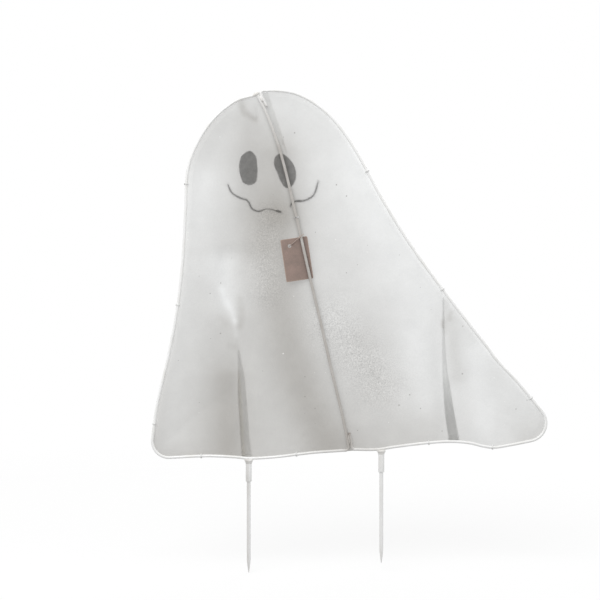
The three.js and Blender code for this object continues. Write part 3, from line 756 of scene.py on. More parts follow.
def placed(w, group, where, **values):
    """An effect's group in a material, with this material's values."""
    node = w.add("ShaderNodeGroup", node_tree=group)
    w.join(where, node.inputs["Vector"])
    for label, value in values.items():
        node.inputs[label.replace("_", " ")].default_value = value
    return node.outputs


def enamelled_steel(name, white, cast):
    """White enamel. The piece's wear_and_shade mark says where painted shade darkens it (X) and where the
    steel is bare (Y).
    """
    made, w, shader, where = material(name)
    film = placed(w, enamel, where)
    wear_and_shade = w.marked("wear_and_shade")
    colour = w.blend(w.remap(film["Film"], (0.42, 0.72)), white, cast)
    patchy = w.remap(film["Film"], (0.25, 0.75), to=(0.75, 1.1))
    # Painted shade: the enamel darkens towards a shaded tone where the mark's X says
    colour = w.blend(w.maths("MULTIPLY", wear_and_shade["X"], patchy, clamp=True), colour, SHADED_ENAMEL)
    chipped = w.maths("ADD", film["Chips"], wear_and_shade["Y"], clamp=True)
    colour = w.blend(chipped, colour, BARE_STEEL)
    w.join(colour, shader.inputs["Base Color"])
    w.join(w.remap(film["Film"], (0.3, 0.7), to=(0.22, 0.36)), shader.inputs["Roughness"])
    w.join(w.bump(film["Height"], strength=0.3, far=0.0002), shader.inputs["Normal"])
    shader.inputs["Coat Weight"].default_value = 0.3
    return made


def thin_cloth():
    """Translucent cloth, with its painted light and shade in its tone. Its marks say where it is speckled (X)
    and where the felt's painted shade falls on it (Y).
    """
    made, w, shader, where = material("thin_white_cloth")
    threads = placed(w, weave, where, Thread_Pitch=0.0009)
    # The tone attribute carries the cloth's painted light and shade
    tone = w.add("ShaderNodeAttribute", attribute_name="tone")
    marks = w.marked("marks")
    cloudy = w.remap(w.noise(where, scale=34.0, detail=4.0, roughness=0.6), (0.3, 0.7), to=(0.965, 1.03))
    colour = w.blend(1.0, tone.outputs["Color"], cloudy, "MULTIPLY")
    grain = w.remap(w.noise(where, scale=620.0, detail=2.0, roughness=0.8), (0.3, 0.7), to=(-1.0, 1.0))
    speckle = w.maths("MULTIPLY_ADD", grain, w.maths("MULTIPLY", marks["X"], GRAIN_STRENGTH), 1.0)
    colour = w.blend(1.0, colour, speckle, "MULTIPLY")
    dirt = placed(w, specks, where, Scale=75.0, Share=0.07, Size=0.05)
    colour = w.blend(w.maths("MULTIPLY", dirt["Dark"], DARK_SPECK_STRENGTH), colour, DARK_SPECK)
    colour = w.blend(w.maths("MULTIPLY", dirt["Light"], LIGHT_SPECK_STRENGTH), colour, LIGHT_SPECK)
    # The painted shade of the felt seen through the cloth, made patchy
    pressed = w.remap(w.noise(where, scale=200.0, detail=4.0, roughness=0.7), (0.3, 0.7), to=(0.0, 2.2))
    colour = w.blend(w.maths("MULTIPLY", marks["Y"], pressed, clamp=True), colour, FELT_SHADOW_TONE)
    w.join(colour, shader.inputs["Base Color"])
    w.join(threads["Cover"], shader.inputs["Alpha"])
    shader.inputs["Roughness"].default_value = 0.9
    shader.inputs["Sheen Weight"].default_value = 0.15
    relief = w.bump(threads["Height"], strength=0.12, far=0.0001)
    w.join(relief, shader.inputs["Normal"])
    through = w.add("ShaderNodeBsdfTranslucent")
    w.join(colour, through.inputs["Color"])
    both = w.mix_shaders(TRANSLUCENT_SHARE, shader, through)
    w.join(both.outputs[0], made.node_tree.nodes["Material Output"].inputs["Surface"])
    return made


def kraft_card():
    """Kraft card. Its wear_and_shade mark says where it is paler along its border (X) and where the brace's
    painted shadow and shade darken it (Y).
    """
    made, w, shader, where = material("kraft_card")
    fibres = placed(w, fibre, where, Scale=500.0)
    wear_and_shade = w.marked("wear_and_shade")
    colour = w.blend(w.remap(fibres["Tone"], (0.35, 0.66)), CARD_DARK, CARD_LIGHT)
    colour = w.blend(wear_and_shade["X"], colour, CARD_EDGE)
    colour = w.blend(wear_and_shade["Y"], colour, CARD_SHADE)
    w.join(colour, shader.inputs["Base Color"])
    w.join(w.bump(fibres["Height"], strength=0.5, far=0.0001), shader.inputs["Normal"])
    shader.inputs["Roughness"].default_value = 0.85
    return made


def thread_with_dark_ties():
    """White thread. Its wear_and_shade mark says where it is darker (X)."""
    made, w, shader, where = material("pale_thread")
    fibres = placed(w, fibre, where, Scale=2500.0)
    wear_and_shade = w.marked("wear_and_shade")
    darkening = w.maths("MULTIPLY", wear_and_shade["X"], w.remap(fibres["Tone"], (0.3, 0.7), to=(0.7, 1.2)), clamp=True)
    w.join(w.blend(darkening, WHITE_THREAD, DARKENED_THREAD), shader.inputs["Base Color"])
    w.join(w.bump(fibres["Height"], strength=0.5, far=0.0001), shader.inputs["Normal"])
    shader.inputs["Roughness"].default_value = 0.8
    return made


def fibre_material(name, dark, light, scale, roughness, relief):
    """A plain matted or spun material, between a dark and a light tone."""
    made, w, shader, where = material(name)
    fibres = placed(w, fibre, where, Scale=scale)
    w.join(w.blend(w.remap(fibres["Tone"], (0.35, 0.68)), dark, light), shader.inputs["Base Color"])
    w.join(w.bump(fibres["Height"], strength=0.5, far=relief), shader.inputs["Normal"])
    shader.inputs["Roughness"].default_value = roughness
    return made


white_enamel = enamelled_steel("white_enamel", ENAMEL, ENAMEL_CAST)
stake_enamel = enamelled_steel("stake_enamel", ENAMEL, LEG_CAST)
weld_enamel = enamelled_steel("weld_enamel", WELD_ENAMEL, WELD_CAST)
cloth_material = thin_cloth()
felt_material = fibre_material(
    "dark_felt", FELT_DARK, FELT_LIGHT, scale=1400.0, roughness=0.95, relief=0.0004)
card_material = kraft_card()
thread_material = thread_with_dark_ties()
string_material = fibre_material(
    "tag_string_cotton", COTTON_DARK, COTTON_LIGHT, scale=1500.0, roughness=0.8, relief=0.0001)


# Camera

# The photo's millimetres per pixel, its size and the pixel where the origin lies
PHOTO_SCALE = 1.26
PHOTO_SIZE = 600
ORIGIN_PIXEL = (315, 480)
PHOTO_MIDDLE = (
    (PHOTO_SIZE / 2 - ORIGIN_PIXEL[0]) * PHOTO_SCALE,
    (ORIGIN_PIXEL[1] - PHOTO_SIZE / 2) * PHOTO_SCALE,
)
CAMERA_AWAY = 1600.0
SENSOR_WIDTH = 36.0

lens = bpy.data.cameras.new("photo_camera")
lens.sensor_width = SENSOR_WIDTH
lens.lens = SENSOR_WIDTH * CAMERA_AWAY / (PHOTO_SIZE * PHOTO_SCALE)
camera = bpy.data.objects.new("photo_camera", lens)
camera.location = Vector((PHOTO_MIDDLE[0], -CAMERA_AWAY, PHOTO_MIDDLE[1])) * MM
camera.rotation_euler = (math.pi / 2, 0, 0)
bpy.context.collection.objects.link(camera)
bpy.context.scene.camera = camera


# Tag, hanging from its string on the brace

STRING_POINTS = 90
# The string's way round the brace: shares of its reach to the side, behind and in front
ROUND_SIDE, ROUND_BEHIND, ROUND_BEFORE = 0.8, 0.7, 0.9
# The knot's length and width as multiples of its radius
KNOT_LENGTH, KNOT_WIDTH = 2.3, 1.9
# The card's steps round a corner, its points round the border, and its rings from hole to border, which
# crowd a little towards the border
CORNER_STEPS = 6
BORDER_POINTS = 160
CARD_RINGS, CARD_RING_CROWDING = 42, 0.9
# How much lower the card's face is at its hole and border, where it is pressed
PRESSED_RIM = 0.12
# The card's paler border, and the brace's painted shadow near it and painted shade further out: strength and
# reach
PALE_EDGE = (0.55, 0.7)
BRACE_SHADOW_NEAR, BRACE_SHADE_FAR = (0.7, 3.2), (0.16, 14)

tag_knot = at_height(brace, TAG_KNOT_HEIGHT)
toward_hole = np.array([-math.cos(STRING_DROP), 0.0, -math.sin(STRING_DROP)])
tag_hole = np.array([tag_knot[0], 0, tag_knot[1]]) + KNOT_TO_HOLE * toward_hole


def string_route():
    """The string's loop: from the knot through the card's hole, back behind the card and round the brace.

    The ends that would meet inside the knot are left out.
    """
    strand = WIRE_RADIUS + SEAT_GAP + THREAD_RADIUS
    knot_depth = -(WIRE_RADIUS + SEAT_GAP + KNOT_RADIUS)
    behind = CLOTH_BACK + TAG_THICKNESS + SEAT_GAP + THREAD_RADIUS
    before = CLOTH_BACK - SEAT_GAP - THREAD_RADIUS
    around = strand + STRING_SLACK
    in_hole = TAG_HOLE / 6
    route = [
        (KNOT_RADIUS, knot_depth), (KNOT_TO_HOLE / 2, before - 2 * SEAT_GAP),
        (KNOT_TO_HOLE - in_hole, before),
        (KNOT_TO_HOLE + in_hole, CLOTH_BACK + TAG_THICKNESS / 2), (KNOT_TO_HOLE - in_hole, behind),
        (KNOT_TO_HOLE / 2, behind), (0, behind),
        (-around * ROUND_SIDE, strand * ROUND_BEHIND), (-around, 0),
        (-around * ROUND_SIDE, -strand * ROUND_BEFORE), (KNOT_RADIUS, knot_depth),
    ]
    knot = np.array([tag_knot[0], 0, tag_knot[1]])
    points = [knot + a * toward_hole + np.array([0, y, 0]) for a, y in route]
    return point_at(curve(points), np.linspace(0, 1, STRING_POINTS))[1:-3]


def tag_card():
    """The card: flat, with rounded corners and a punched hole, and pressed at its hole and border."""
    left, top = -HOLE_FROM_LEFT, HOLE_FROM_TOP
    right, bottom = left + TAG_WIDTH, top - TAG_HEIGHT
    corners = (
        (right - TAG_CORNER, top - TAG_CORNER, 0), (left + TAG_CORNER, top - TAG_CORNER, 90),
        (left + TAG_CORNER, bottom + TAG_CORNER, 180), (right - TAG_CORNER, bottom + TAG_CORNER, 270),
    )
    border = []
    for x, z, start in corners:
        for step in range(CORNER_STEPS + 1):
            angle = math.radians(start + 90 / CORNER_STEPS * step)
            border.append((x + TAG_CORNER * math.cos(angle), z + TAG_CORNER * math.sin(angle)))
    border = np.array(border + border[:1])
    border = point_at(border, np.linspace(0, 1, BORDER_POINTS, endpoint=False))
    bearing = np.arctan2(border[:, 1], border[:, 0])
    hole = TAG_HOLE * np.stack([np.cos(bearing), np.sin(bearing)], axis=1)
    rings = [hole + (border - hole) * share for share in np.linspace(0, 1, CARD_RINGS) ** CARD_RING_CROWDING]
    count, depth = len(border), len(rings)
    face = TAG_THICKNESS / 2
    vertices = []
    for sign in (-1, 1):
        for n, ring in enumerate(rings):
            shy = PRESSED_RIM if n in (0, depth - 1) else 0.0
            for x, z in ring:
                turned_x = x * math.cos(TAG_TILT) - z * math.sin(TAG_TILT)
                turned_z = x * math.sin(TAG_TILT) + z * math.cos(TAG_TILT)
                depth_there = CLOTH_BACK + face + sign * (face - shy)
                vertices.append((tag_hole[0] + turned_x, depth_there, tag_hole[2] + turned_z))
    faces = []
    for layer in (0, 1):
        for n in range(depth - 1):
            start = (layer * depth + n) * count
            faces += [quad if layer == 0 else quad[::-1] for quad in band(start, start + count, count)]
    for n in (0, depth - 1):
        faces += band(n * count, (n + depth) * count, count)
    card = face_out(make_piece("blank_tag_card", vertices, faces, card_material, smooth=False))
    turn = np.array([[math.cos(TAG_TILT), math.sin(TAG_TILT)], [-math.sin(TAG_TILT), math.cos(TAG_TILT)]])
    edge_line = np.vstack([border, border[:1]]) @ turn + tag_hole[[0, 2]]

    # The card's paler border, and the painted shadow and shade of the brace on it
    def card_edge_and_shade(spots):
        from_brace = distance(brace, spots)
        shadow_by_brace = sum(strength * fading(from_brace, reach) for strength, reach in (BRACE_SHADOW_NEAR, BRACE_SHADE_FAR))
        return PALE_EDGE[0] * fading(distance(edge_line, spots), PALE_EDGE[1]), shadow_by_brace

    mark(card, "wear_and_shade", card_edge_and_shade)
    return card


string_path = string_route()
tag_string = tube("tag_string_loop", string_path, THREAD_RADIUS, sides=10, material=string_material, rim=0.1)
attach(tag_string, "tag")
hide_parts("tag_string")
knot = weld_bead(
    "tag_string_knot", place=string_path[0][[0, 2]], along=toward_hole[[0, 2]],
    length=KNOT_LENGTH * KNOT_RADIUS, width=KNOT_WIDTH * KNOT_RADIUS, depth=KNOT_RADIUS,
    forward=-string_path[0][1], material=string_material)
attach(knot, "tag")
tag = tag_card()
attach(tag, "tag")
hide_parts("hang_tag")


# Wire frame

# How much painted shade darkens the brace's enamel at each height, and how far to its sides that reaches
BRACE_SHADE = ([60, 150, 418, 433, 449, 471, 485], [1.12, 1.05, 1.05, 0.78, 0.62, 0.45, 0.12])
BRACE_SHADE_REACH = 9.0
# How much painted shade darkens the wires at the foot, and how far along the hem that reaches
FOOT_SHADE, FOOT_SHADE_REACH = 0.45, 60.0
# The bare steel at the right wire's cut end
BARE_END, BARE_END_REACH = 0.85, 3.0
# How far the welds between the wires reach before and behind their middle, and how far forward that is
WELD_DEPTH, WELD_FORWARD = 1.5, 1.5


def enamel_wear_and_shade(spots):
    """The painted shade of the wires and their welds along the brace and round the foot (X), and bare steel
    at one cut end (Y).
    """
    on_brace = fading(distance(brace, spots), BRACE_SHADE_REACH) * np.interp(spots[:, 1], *BRACE_SHADE)
    on_hem = FOOT_SHADE * fading(np.linalg.norm(spots - FOOT, axis=1), FOOT_SHADE_REACH)
    bare = BARE_END * fading(np.linalg.norm(spots - lower_lap_end, axis=1), BARE_END_REACH)
    return np.maximum(on_brace, on_hem), bare


left_wire = tube("left_loop", in_space(joined(left_stretches)), WIRE_RADIUS, WIRE_SIDES, white_enamel)
right_wire = tube("right_bow", in_space(joined(right_stretches)), WIRE_RADIUS, WIRE_SIDES, white_enamel)
for piece, node in ((left_wire, "left_loop_wire"), (right_wire, "right_bow_wire")):
    mark(piece, "wear_and_shade", enamel_wear_and_shade)
    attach(piece, "frame")
    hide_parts(node)

lap_middle = at_height(brace, (upper_lap_end[1] + BRACE_TOP[1]) / 2)
between_laps = offset(np.array([BRACE[-1], lap_middle, BRACE_TOP]), LAP_OFFSET / 2)[1]
top_joint = (left_start + np.array(BRACE_TOP)) / 2
foot_joint = at_height(offset(brace, LAP_OFFSET / 2), lower_lap_end[1] - LOWER_LAP / 2)
for name, node, place, along, length, width in (
    ("top_joint_bead", "top_weld", top_joint, across_top, 8.5, 4.2),
    ("upper_lap_bead", "upper_lap_weld", between_laps, top_way, 8.0, 3.4),
    ("foot_lap_bead", "foot_weld", foot_joint, lower_way, 13.0, 2.6),
):
    bead = weld_bead(name, place, along, length, width, WELD_DEPTH, WELD_FORWARD, weld_enamel)
    mark(bead, "wear_and_shade", enamel_wear_and_shade)
    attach(bead, "frame")
    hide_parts(node)


# Stakes and sockets

def hem_point(across):
    """The point of the hem line at a distance across."""
    i = next(i for i in range(1, len(hem_line)) if hem_line[i][0] >= across >= hem_line[i - 1][0])
    share = (across - hem_line[i - 1][0]) / (hem_line[i][0] - hem_line[i - 1][0])
    return hem_line[i - 1] + share * (hem_line[i] - hem_line[i - 1])


EDGE_POINTS = 5


def rolled(radius, height, small, start, end):
    """The arc of a round edge of a turned piece, about (radius, height)."""
    angles = np.radians(np.linspace(start, end, EDGE_POINTS))
    return [(radius + small * math.cos(a), height + small * math.sin(a)) for a in angles]


# How round the edges are: inside and outside a socket's mouth, round its top, and at both ends of a stake
MOUTH_INSIDE, MOUTH_OUTSIDE, SOCKET_TOP = 0.3, 0.4, 0.6
STAKE_ENDS, TIP_RADIUS = 0.4, 0.05
# A stake's radius at shares of its point's length, and further rings at shares of the whole length
POINT_PROFILE = ((1.55, 0.52), (2.2, 0.82), (STAKE_RADIUS, 1.08))
STAKE_RINGS = (0.3, 0.6, 0.9)
# The weld round a socket's top: how far it stands out from the socket, and its heights
COLLAR_PROFILE = (
    (-0.2, -4.9), (0.25, -4.3), (0.5, -3.2), (1.0, -1.9), (1.7, -0.9),
    (1.6, 0.4), (0.6, 1.2), (-1.6, 1.4), (-1.6, -0.4), (-0.2, -4.9),
)
# How much painted shade darkens each leg on its left side, and between which places beside its middle the
# shade ends
LEG_SHADE = {"left": 0.46, "right": 0.18}
LEG_SHADE_EDGE = (-0.6, 1.4)


def leg_shading(centre, shade_amount):
    """A leg's painted shade: darker on its left side and unshaded on its right."""
    shade_to, unshaded_from = LEG_SHADE_EDGE

    def wear_and_shade(spots):
        unshaded = np.clip((spots[:, 0] - centre - shade_to) / (unshaded_from - shade_to), 0, 1)
        return (shade_amount * (1 - unshaded),)

    return wear_and_shade


for side, across in (("left", -STAKE_SPACING / 2), ("right", STAKE_SPACING / 2)):
    place = (across, hem_point(across)[1] - WIRE_RADIUS - SEAT_GAP)
    socket_profile = [
        (0, -SOCKET_END), (BORE_RADIUS, -SOCKET_END),
        *rolled(BORE_RADIUS + MOUTH_INSIDE, -SOCKET_LENGTH + MOUTH_INSIDE, MOUTH_INSIDE, 180, 270),
        *rolled(SOCKET_RADIUS - MOUTH_OUTSIDE, -SOCKET_LENGTH + MOUTH_OUTSIDE, MOUTH_OUTSIDE, -90, 0),
        *rolled(SOCKET_RADIUS - SOCKET_TOP, -SOCKET_TOP, SOCKET_TOP, 0, 90),
        (0, 0),
    ]
    socket = turned(f"{side}_socket_tube", socket_profile, place, stake_enamel)
    tip = -SOCKET_END - SEAT_GAP - STAKE_LENGTH
    stake_profile = [
        (0, tip),
        *rolled(TIP_RADIUS, tip + STAKE_ENDS, STAKE_ENDS, -80, -10),
        *((radius, tip + share * STAKE_POINT) for radius, share in POINT_PROFILE),
        *((STAKE_RADIUS, tip + STAKE_LENGTH * share) for share in STAKE_RINGS),
        *rolled(STAKE_RADIUS - STAKE_ENDS, tip + STAKE_LENGTH - STAKE_ENDS, STAKE_ENDS, 0, 90),
        (0, tip + STAKE_LENGTH),
    ]
    stake = turned(f"{side}_ground_stake", stake_profile, place, stake_enamel)
    collar = [(SOCKET_RADIUS + out, height) for out, height in COLLAR_PROFILE]
    bead = turned(f"{side}_socket_bead", collar, place, weld_enamel)
    for piece, node, body in (
        (socket, f"{side}_socket", "frame"), (bead, f"{side}_socket_weld", "frame"),
        (stake, f"{side}_stake", f"{side}_stake"),
    ):
        mark(piece, "wear_and_shade", leg_shading(across, LEG_SHADE[side]))
        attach(piece, body)
        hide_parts(node)


# Cloth

# The cloth's tone at the origin, and the painted light that it gains over this many millimetres to the right
# and upwards
CLOTH_TONE = np.array((0.58, 0.575, 0.56))
TONE_SPAN = 300
TONE_TO_RIGHT = 0.17
TONE_UPWARDS = 0.12
TONE_LIMITS, PLEAT_TONE_LIMITS = (0.02, 0.95), (0.05, 0.95)
# Light on the cloth is a little cool, so the cloth looks warmer in the shades
LIGHT_TINT = np.array((0.95, 1.0, 1.05))
# Painted light and shade on the cloth: soft lights and shades, and painted highlights and shades on the
# creases'
# sides: the line each follows, its reach, and how much lighter it makes the tone
SHADES = {
    "light_down_left_side": ([(-150, 375), (-165, 250), (-185, 60)], 35, 0.14),
    "glow_round_crease": ([(-118, 270), (-112, 225)], 20, 0.15),
    "shade_inside_left_arc": ([(-80, 450), (-85, 400), (-75, 300)], 25, -0.12),
    "shade_between_eyes": ([(-45, 410), (-45, 350)], 30, -0.20),
    "shade_along_brace": ([(-40, 320), (-45, 240), (-20, 130), (15, 45)], 32, -0.18),
    "shade_left_of_left_pleat": ([(-112, 125), (-108, 40)], 22, -0.12),
    "shade_on_speckled_patch": ([(65, 170), (80, 120)], 35, -0.07),
    "light_upper_right": ([(60, 400), (80, 330), (130, 240)], 35, 0.07),
    "light_left_of_right_pleat": ([(130, 180), (140, 110)], 30, 0.08),
    "shade_right_of_right_pleat": ([(172, 200), (180, 130)], 10, -0.08),
    "shade_over_right_hem": ([(60, 40), (140, 55)], 40, -0.08),
    "light_on_wing": ([(205, 160), (215, 70)], 18, 0.06),
    "shade_at_wing_tip": ([(270, 50), (290, 60)], 25, -0.12),
    "crumple_fold": ([(-92, 478), (-89, 466), (-83, 459), (-75, 454)], 4, -0.09),
    "crumple_side": ([(-95.5, 480), (-94.5, 470), (-90, 460)], 3, -0.05),
    "crease_core": ([(-118, 240), (-114, 226), (-110, 218), (-105, 210), (-102, 200)], 4.6, 0.10),
    "crease_tail": ([(-102, 200), (-101.5, 190), (-100, 181)], 3, 0.06),
    "crease_side": ([(-96, 228), (-94, 214), (-94, 203), (-95.5, 194)], 5.5, -0.075),
    "crease_under": ([(-119, 203), (-113, 196)], 6, -0.045),
    "crease_foot": ([(-108, 168), (-99, 166)], 5, -0.045),
    "fold_beside": ([(165.5, 226), (165, 186)], 3.6, -0.05),
    "fold_spot": ([(171.2, 212), (170.4, 203)], 2.8, -0.10),
    "fold_pinch": ([(161.9, 200), (161.7, 193)], 1.8, -0.15),
}
# The cloth is darker along the brace: a painted shadow of the brace on it
CONTACT_SHADOW_REACH = 3.4
CONTACT_SHADOW_BY_HEIGHT = ([60, 130, 300, 420, 480], [0.06, 0.10, 0.20, 0.20, 0.10])
# The cloth's margin is lighter, just inside the outline wire and off the hem: painted light that lifts the
# wire's shadow there
EDGE_LIGHT, EDGE_LIGHT_PLACE, EDGE_LIGHT_REACH = 0.13, 1.2, 2.6
EDGE_LIGHT_OFF_HEM = 20.0
# Where the cloth is speckled: line, reach, strength
GRAINS = [
    ([(-56, 330), (-62, 290), (-58, 236)], 19, 0.40),
    ([(22, 196), (52, 158), (80, 122)], 30, 0.50),
    ([(-130, 250), (60, 250), (190, 90)], 120, 0.05),
]


def cloth_tone(points):
    """The cloth's base colour, with painted light and shade: it lightens to the right and upwards, with soft
    lights and shades on it.
    """
    light = (points[:, 0] * TONE_TO_RIGHT + points[:, 1] * TONE_UPWARDS) / TONE_SPAN
    for line, reach, strength in SHADES.values():
        light = light + strength * ridge(points, line, reach)
    tone = CLOTH_TONE + light[:, None] * LIGHT_TINT
    # Painted shadow of the brace on the cloth
    shadow_by_brace = fading(distance(brace, points), CONTACT_SHADOW_REACH) * np.interp(points[:, 1], *CONTACT_SHADOW_BY_HEIGHT)
    # Painted light on the cloth's margin inside the outline wire
    margin = EDGE_LIGHT * fading(distance(outline, points) - EDGE_LIGHT_PLACE, EDGE_LIGHT_REACH)
    margin *= np.clip(distance(hem_line, points) / EDGE_LIGHT_OFF_HEM - 1, 0, 1)
    return np.clip(tone + (margin - shadow_by_brace)[:, None], *TONE_LIMITS)


def inside_shape(shape, points):
    """Whether each point lies in a closed outline."""
    x, z = points[:, 0], points[:, 1]
    hit = np.zeros(len(points), bool)
    for (ax, az), (bx, bz) in zip(shape, np.roll(shape, -1, axis=0)):
        if az == bz:
            continue
        crosses = (az > z) != (bz > z)
        hit ^= crosses & (x < (bx - ax) * (z - az) / (bz - az) + ax)
    return hit


def cloth_points():
    """The cloth's grid of points, in rows from its top to its hem, that bow more as they near the hem."""
    down = np.linspace(0, 1, CLOTH_ROWS + 1)
    across = np.linspace(0, 1, CLOTH_COLUMNS + 1)
    left, right = point_at(cloth_left, down), point_at(cloth_right, down)
    chord = cloth_hem[0] + across[:, None] * (cloth_hem[-1] - cloth_hem[0])
    bow = point_at(cloth_hem, across) - chord
    grid = left[:, None, :] * (1 - across)[None, :, None] + right[:, None, :] * across[None, :, None]
    grid = grid + bow[None, :, :] * down[:, None, None]
    return grid.reshape(-1, 2)


def grid_faces(rows, columns, base=0):
    """The quads of a grid whose first point has the number in base."""
    faces = []
    for r in range(rows - 1):
        for c in range(columns - 1):
            a, b = base + r * columns + c, base + (r + 1) * columns + c
            faces.append((a, b, b + 1, a + 1))
    return faces


PLEAT_ROWS, PLEAT_COLUMNS = 70, 9
# How far in front of the cloth a pleat's two layers lie, what each gains across, and the last edge
INNER_LIFT, INNER_RISE = 0.35, 0.25
OUTER_LIFT, OUTER_RISE = 1.2, 0.5
LAST_EDGE_LIFT = 0.9
# Each pleat's sides and number of extra layers, and the painted light and shade that its tone is multiplied
# by: down from its upper end, and across from its left side
PLEATS = (
    (LEFT_PLEAT, 2, (1.95, 1.65, 1.68, 1.62), (1.0, 1.45)),
    (RIGHT_PLEAT, 2, (1.6, 1.5, 1.30, 0.88, 0.82), (1.05, 1.15)),
    (TOP_PLEAT, 1, (1.1, 1.2, 1.4), (1.35, 1.05)),
)


def pleat_strip(sides, layers):
    """The extra layers of a pleat, on the cloth's front: one goes out over it, a second comes back."""
    left, right = (point_at(curve(side), np.linspace(0, 1, PLEAT_ROWS)) for side in sides)
    share = np.concatenate([np.linspace(0, 1, PLEAT_COLUMNS), np.linspace(1, 0, PLEAT_COLUMNS)])
    lift = np.concatenate([INNER_LIFT + INNER_RISE * np.linspace(0, 1, PLEAT_COLUMNS),
                           OUTER_LIFT + OUTER_RISE * np.sin(np.linspace(0, math.pi, PLEAT_COLUMNS))])
    lift[-1] = LAST_EDGE_LIFT
    share, lift = share[:layers * PLEAT_COLUMNS], lift[:layers * PLEAT_COLUMNS]
    flat = left[:, None, :] * (1 - share)[None, :, None] + right[:, None, :] * share[None, :, None]
    heights = heights_of(flat.reshape(-1, 2)) + np.tile(lift, PLEAT_ROWS)
    return flat.reshape(-1, 2), heights, share


# How strongly the felt's painted shade shows through the cloth: the eyes, and the mouth with its reach
FELT_SHADOW_EYES = 0.16
FELT_SHADOW_MOUTH, FELT_SHADOW_MOUTH_REACH = 0.3, 1.4

eye_shapes = [curve(points, closed=True, dense=10)[:-1] for points in (LEFT_EYE, RIGHT_EYE)]
mouth_lines = [curve(points) for points in (MOUTH_LEFT, MOUTH_RIGHT)]

flat = cloth_points()
high = heights_of(flat)
vertices = [np.stack([flat[:, 0], high, flat[:, 1]], axis=1)]
tones = [cloth_tone(flat)]
faces = grid_faces(CLOTH_ROWS + 1, CLOTH_COLUMNS + 1)
for sides, layers, down_tones, across_tones in PLEATS:
    spots, depths, share = pleat_strip(sides, layers)
    faces += grid_faces(PLEAT_ROWS, len(share), sum(len(v) for v in vertices))
    vertices.append(np.stack([spots[:, 0], depths, spots[:, 1]], axis=1))
    # Painted light and shade along the pleat's layers
    down = np.interp(np.linspace(0, 1, PLEAT_ROWS), np.linspace(0, 1, len(down_tones)), down_tones)
    across = np.interp(share, (0, 1), across_tones)
    folded = (down[:, None] * across[None, :]).reshape(-1, 1)
    tones.append(np.clip(cloth_tone(spots) * folded, *PLEAT_TONE_LIMITS))
vertices, tones = np.vstack(vertices), np.vstack(tones)
cloth = make_piece("thin_cloth_sheet", vertices, faces, cloth_material)
spots = vertices[:, [0, 2]]
# Each point's tone, with its painted light and shade, for the cloth's material to read
tone = cloth.data.attributes.new("tone", "FLOAT_COLOR", "POINT")
tone.data.foreach_set("color", np.hstack([tones, np.ones((len(spots), 1))]).ravel())
grainy = sum(strength * ridge(spots, line, reach) for line, reach, strength in GRAINS)
# The painted shade of the felt seen through the cloth: at the eyes, and along the mouth lines
felt_shade_mask = FELT_SHADOW_EYES * sum(inside_shape(shape, spots).astype(float) for shape in eye_shapes)
for line, swell in zip(mouth_lines, MOUTH_SWELL):
    nearest, share = nearest_on(line, spots)
    felt_shade_mask += FELT_SHADOW_MOUTH * np.interp(share, *swell) * fading(nearest, FELT_SHADOW_MOUTH_REACH)
marks = cloth.data.attributes.new("marks", "FLOAT_VECTOR", "POINT")
marks.data.foreach_set("vector", np.stack([grainy, felt_shade_mask, np.zeros(len(spots))], axis=1).ravel())
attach(cloth, "frame")
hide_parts("cover_sheet")


# Felt face on the cloth's front

# How far the felt lies in front of the cloth, and how it thins to its edge: to what share, and how steeply
FELT_LIFT = 0.35
FELT_EDGE, FELT_EDGE_STEEPNESS = 0.45, 22
# A mouth strip's section: shares of its half width, and of its thickness
STRIP_SECTION = (
    (-1, 0.15), (-0.8, 0.85), (-0.3, 1.0), (0.3, 1.0), (0.8, 0.85), (1, 0.15), (0.9, 0), (-0.9, 0),
)
STRIP_POINTS = 120
EYE_RINGS = 16
# A strip keeps its width until near its ends: the power of its outline, and the least of it
STRIP_END_POWER, STRIP_END_LEAST = 16, 0.02


def felt_piece(name, node, vertices, faces):
    """A felt piece of the face, on the frame."""
    piece = face_out(make_piece(name, vertices, faces, felt_material))
    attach(piece, "frame")
    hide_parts(node)


def felt_patch(name, node, shape):
    """A felt shape with a soft rolled edge, laid on the cloth."""
    middle = shape.mean(axis=0)
    shares = np.linspace(1, 0, EYE_RINGS + 1)[:-1]
    flat_rings = [middle + (shape - middle) * s for s in shares]
    count = len(shape)
    vertices, faces = [], []
    for layer in (0, 1):
        for ring, ring_share in zip(flat_rings, shares):
            edge = 1 - math.exp(-(shares[0] - ring_share) * FELT_EDGE_STEEPNESS)
            thick = layer * FELT_THICKNESS * (FELT_EDGE + (1 - FELT_EDGE) * edge)
            vertices += [(x, y + thick, z) for (x, z), y in zip(ring, heights_of(ring) + FELT_LIFT)]
        vertices.append((middle[0], heights_of(middle)[0] + FELT_LIFT + layer * FELT_THICKNESS, middle[1]))
    layer_size = count * EYE_RINGS + 1
    for start in (0, layer_size):
        for n in range(EYE_RINGS - 1):
            faces += band(start + n * count, start + (n + 1) * count, count)
        last = start + (EYE_RINGS - 1) * count
        for k in range(count):
            faces.append((last + k, last + (k + 1) % count, start + layer_size - 1))
    faces += band(0, layer_size, count)
    felt_piece(name, node, vertices, faces)


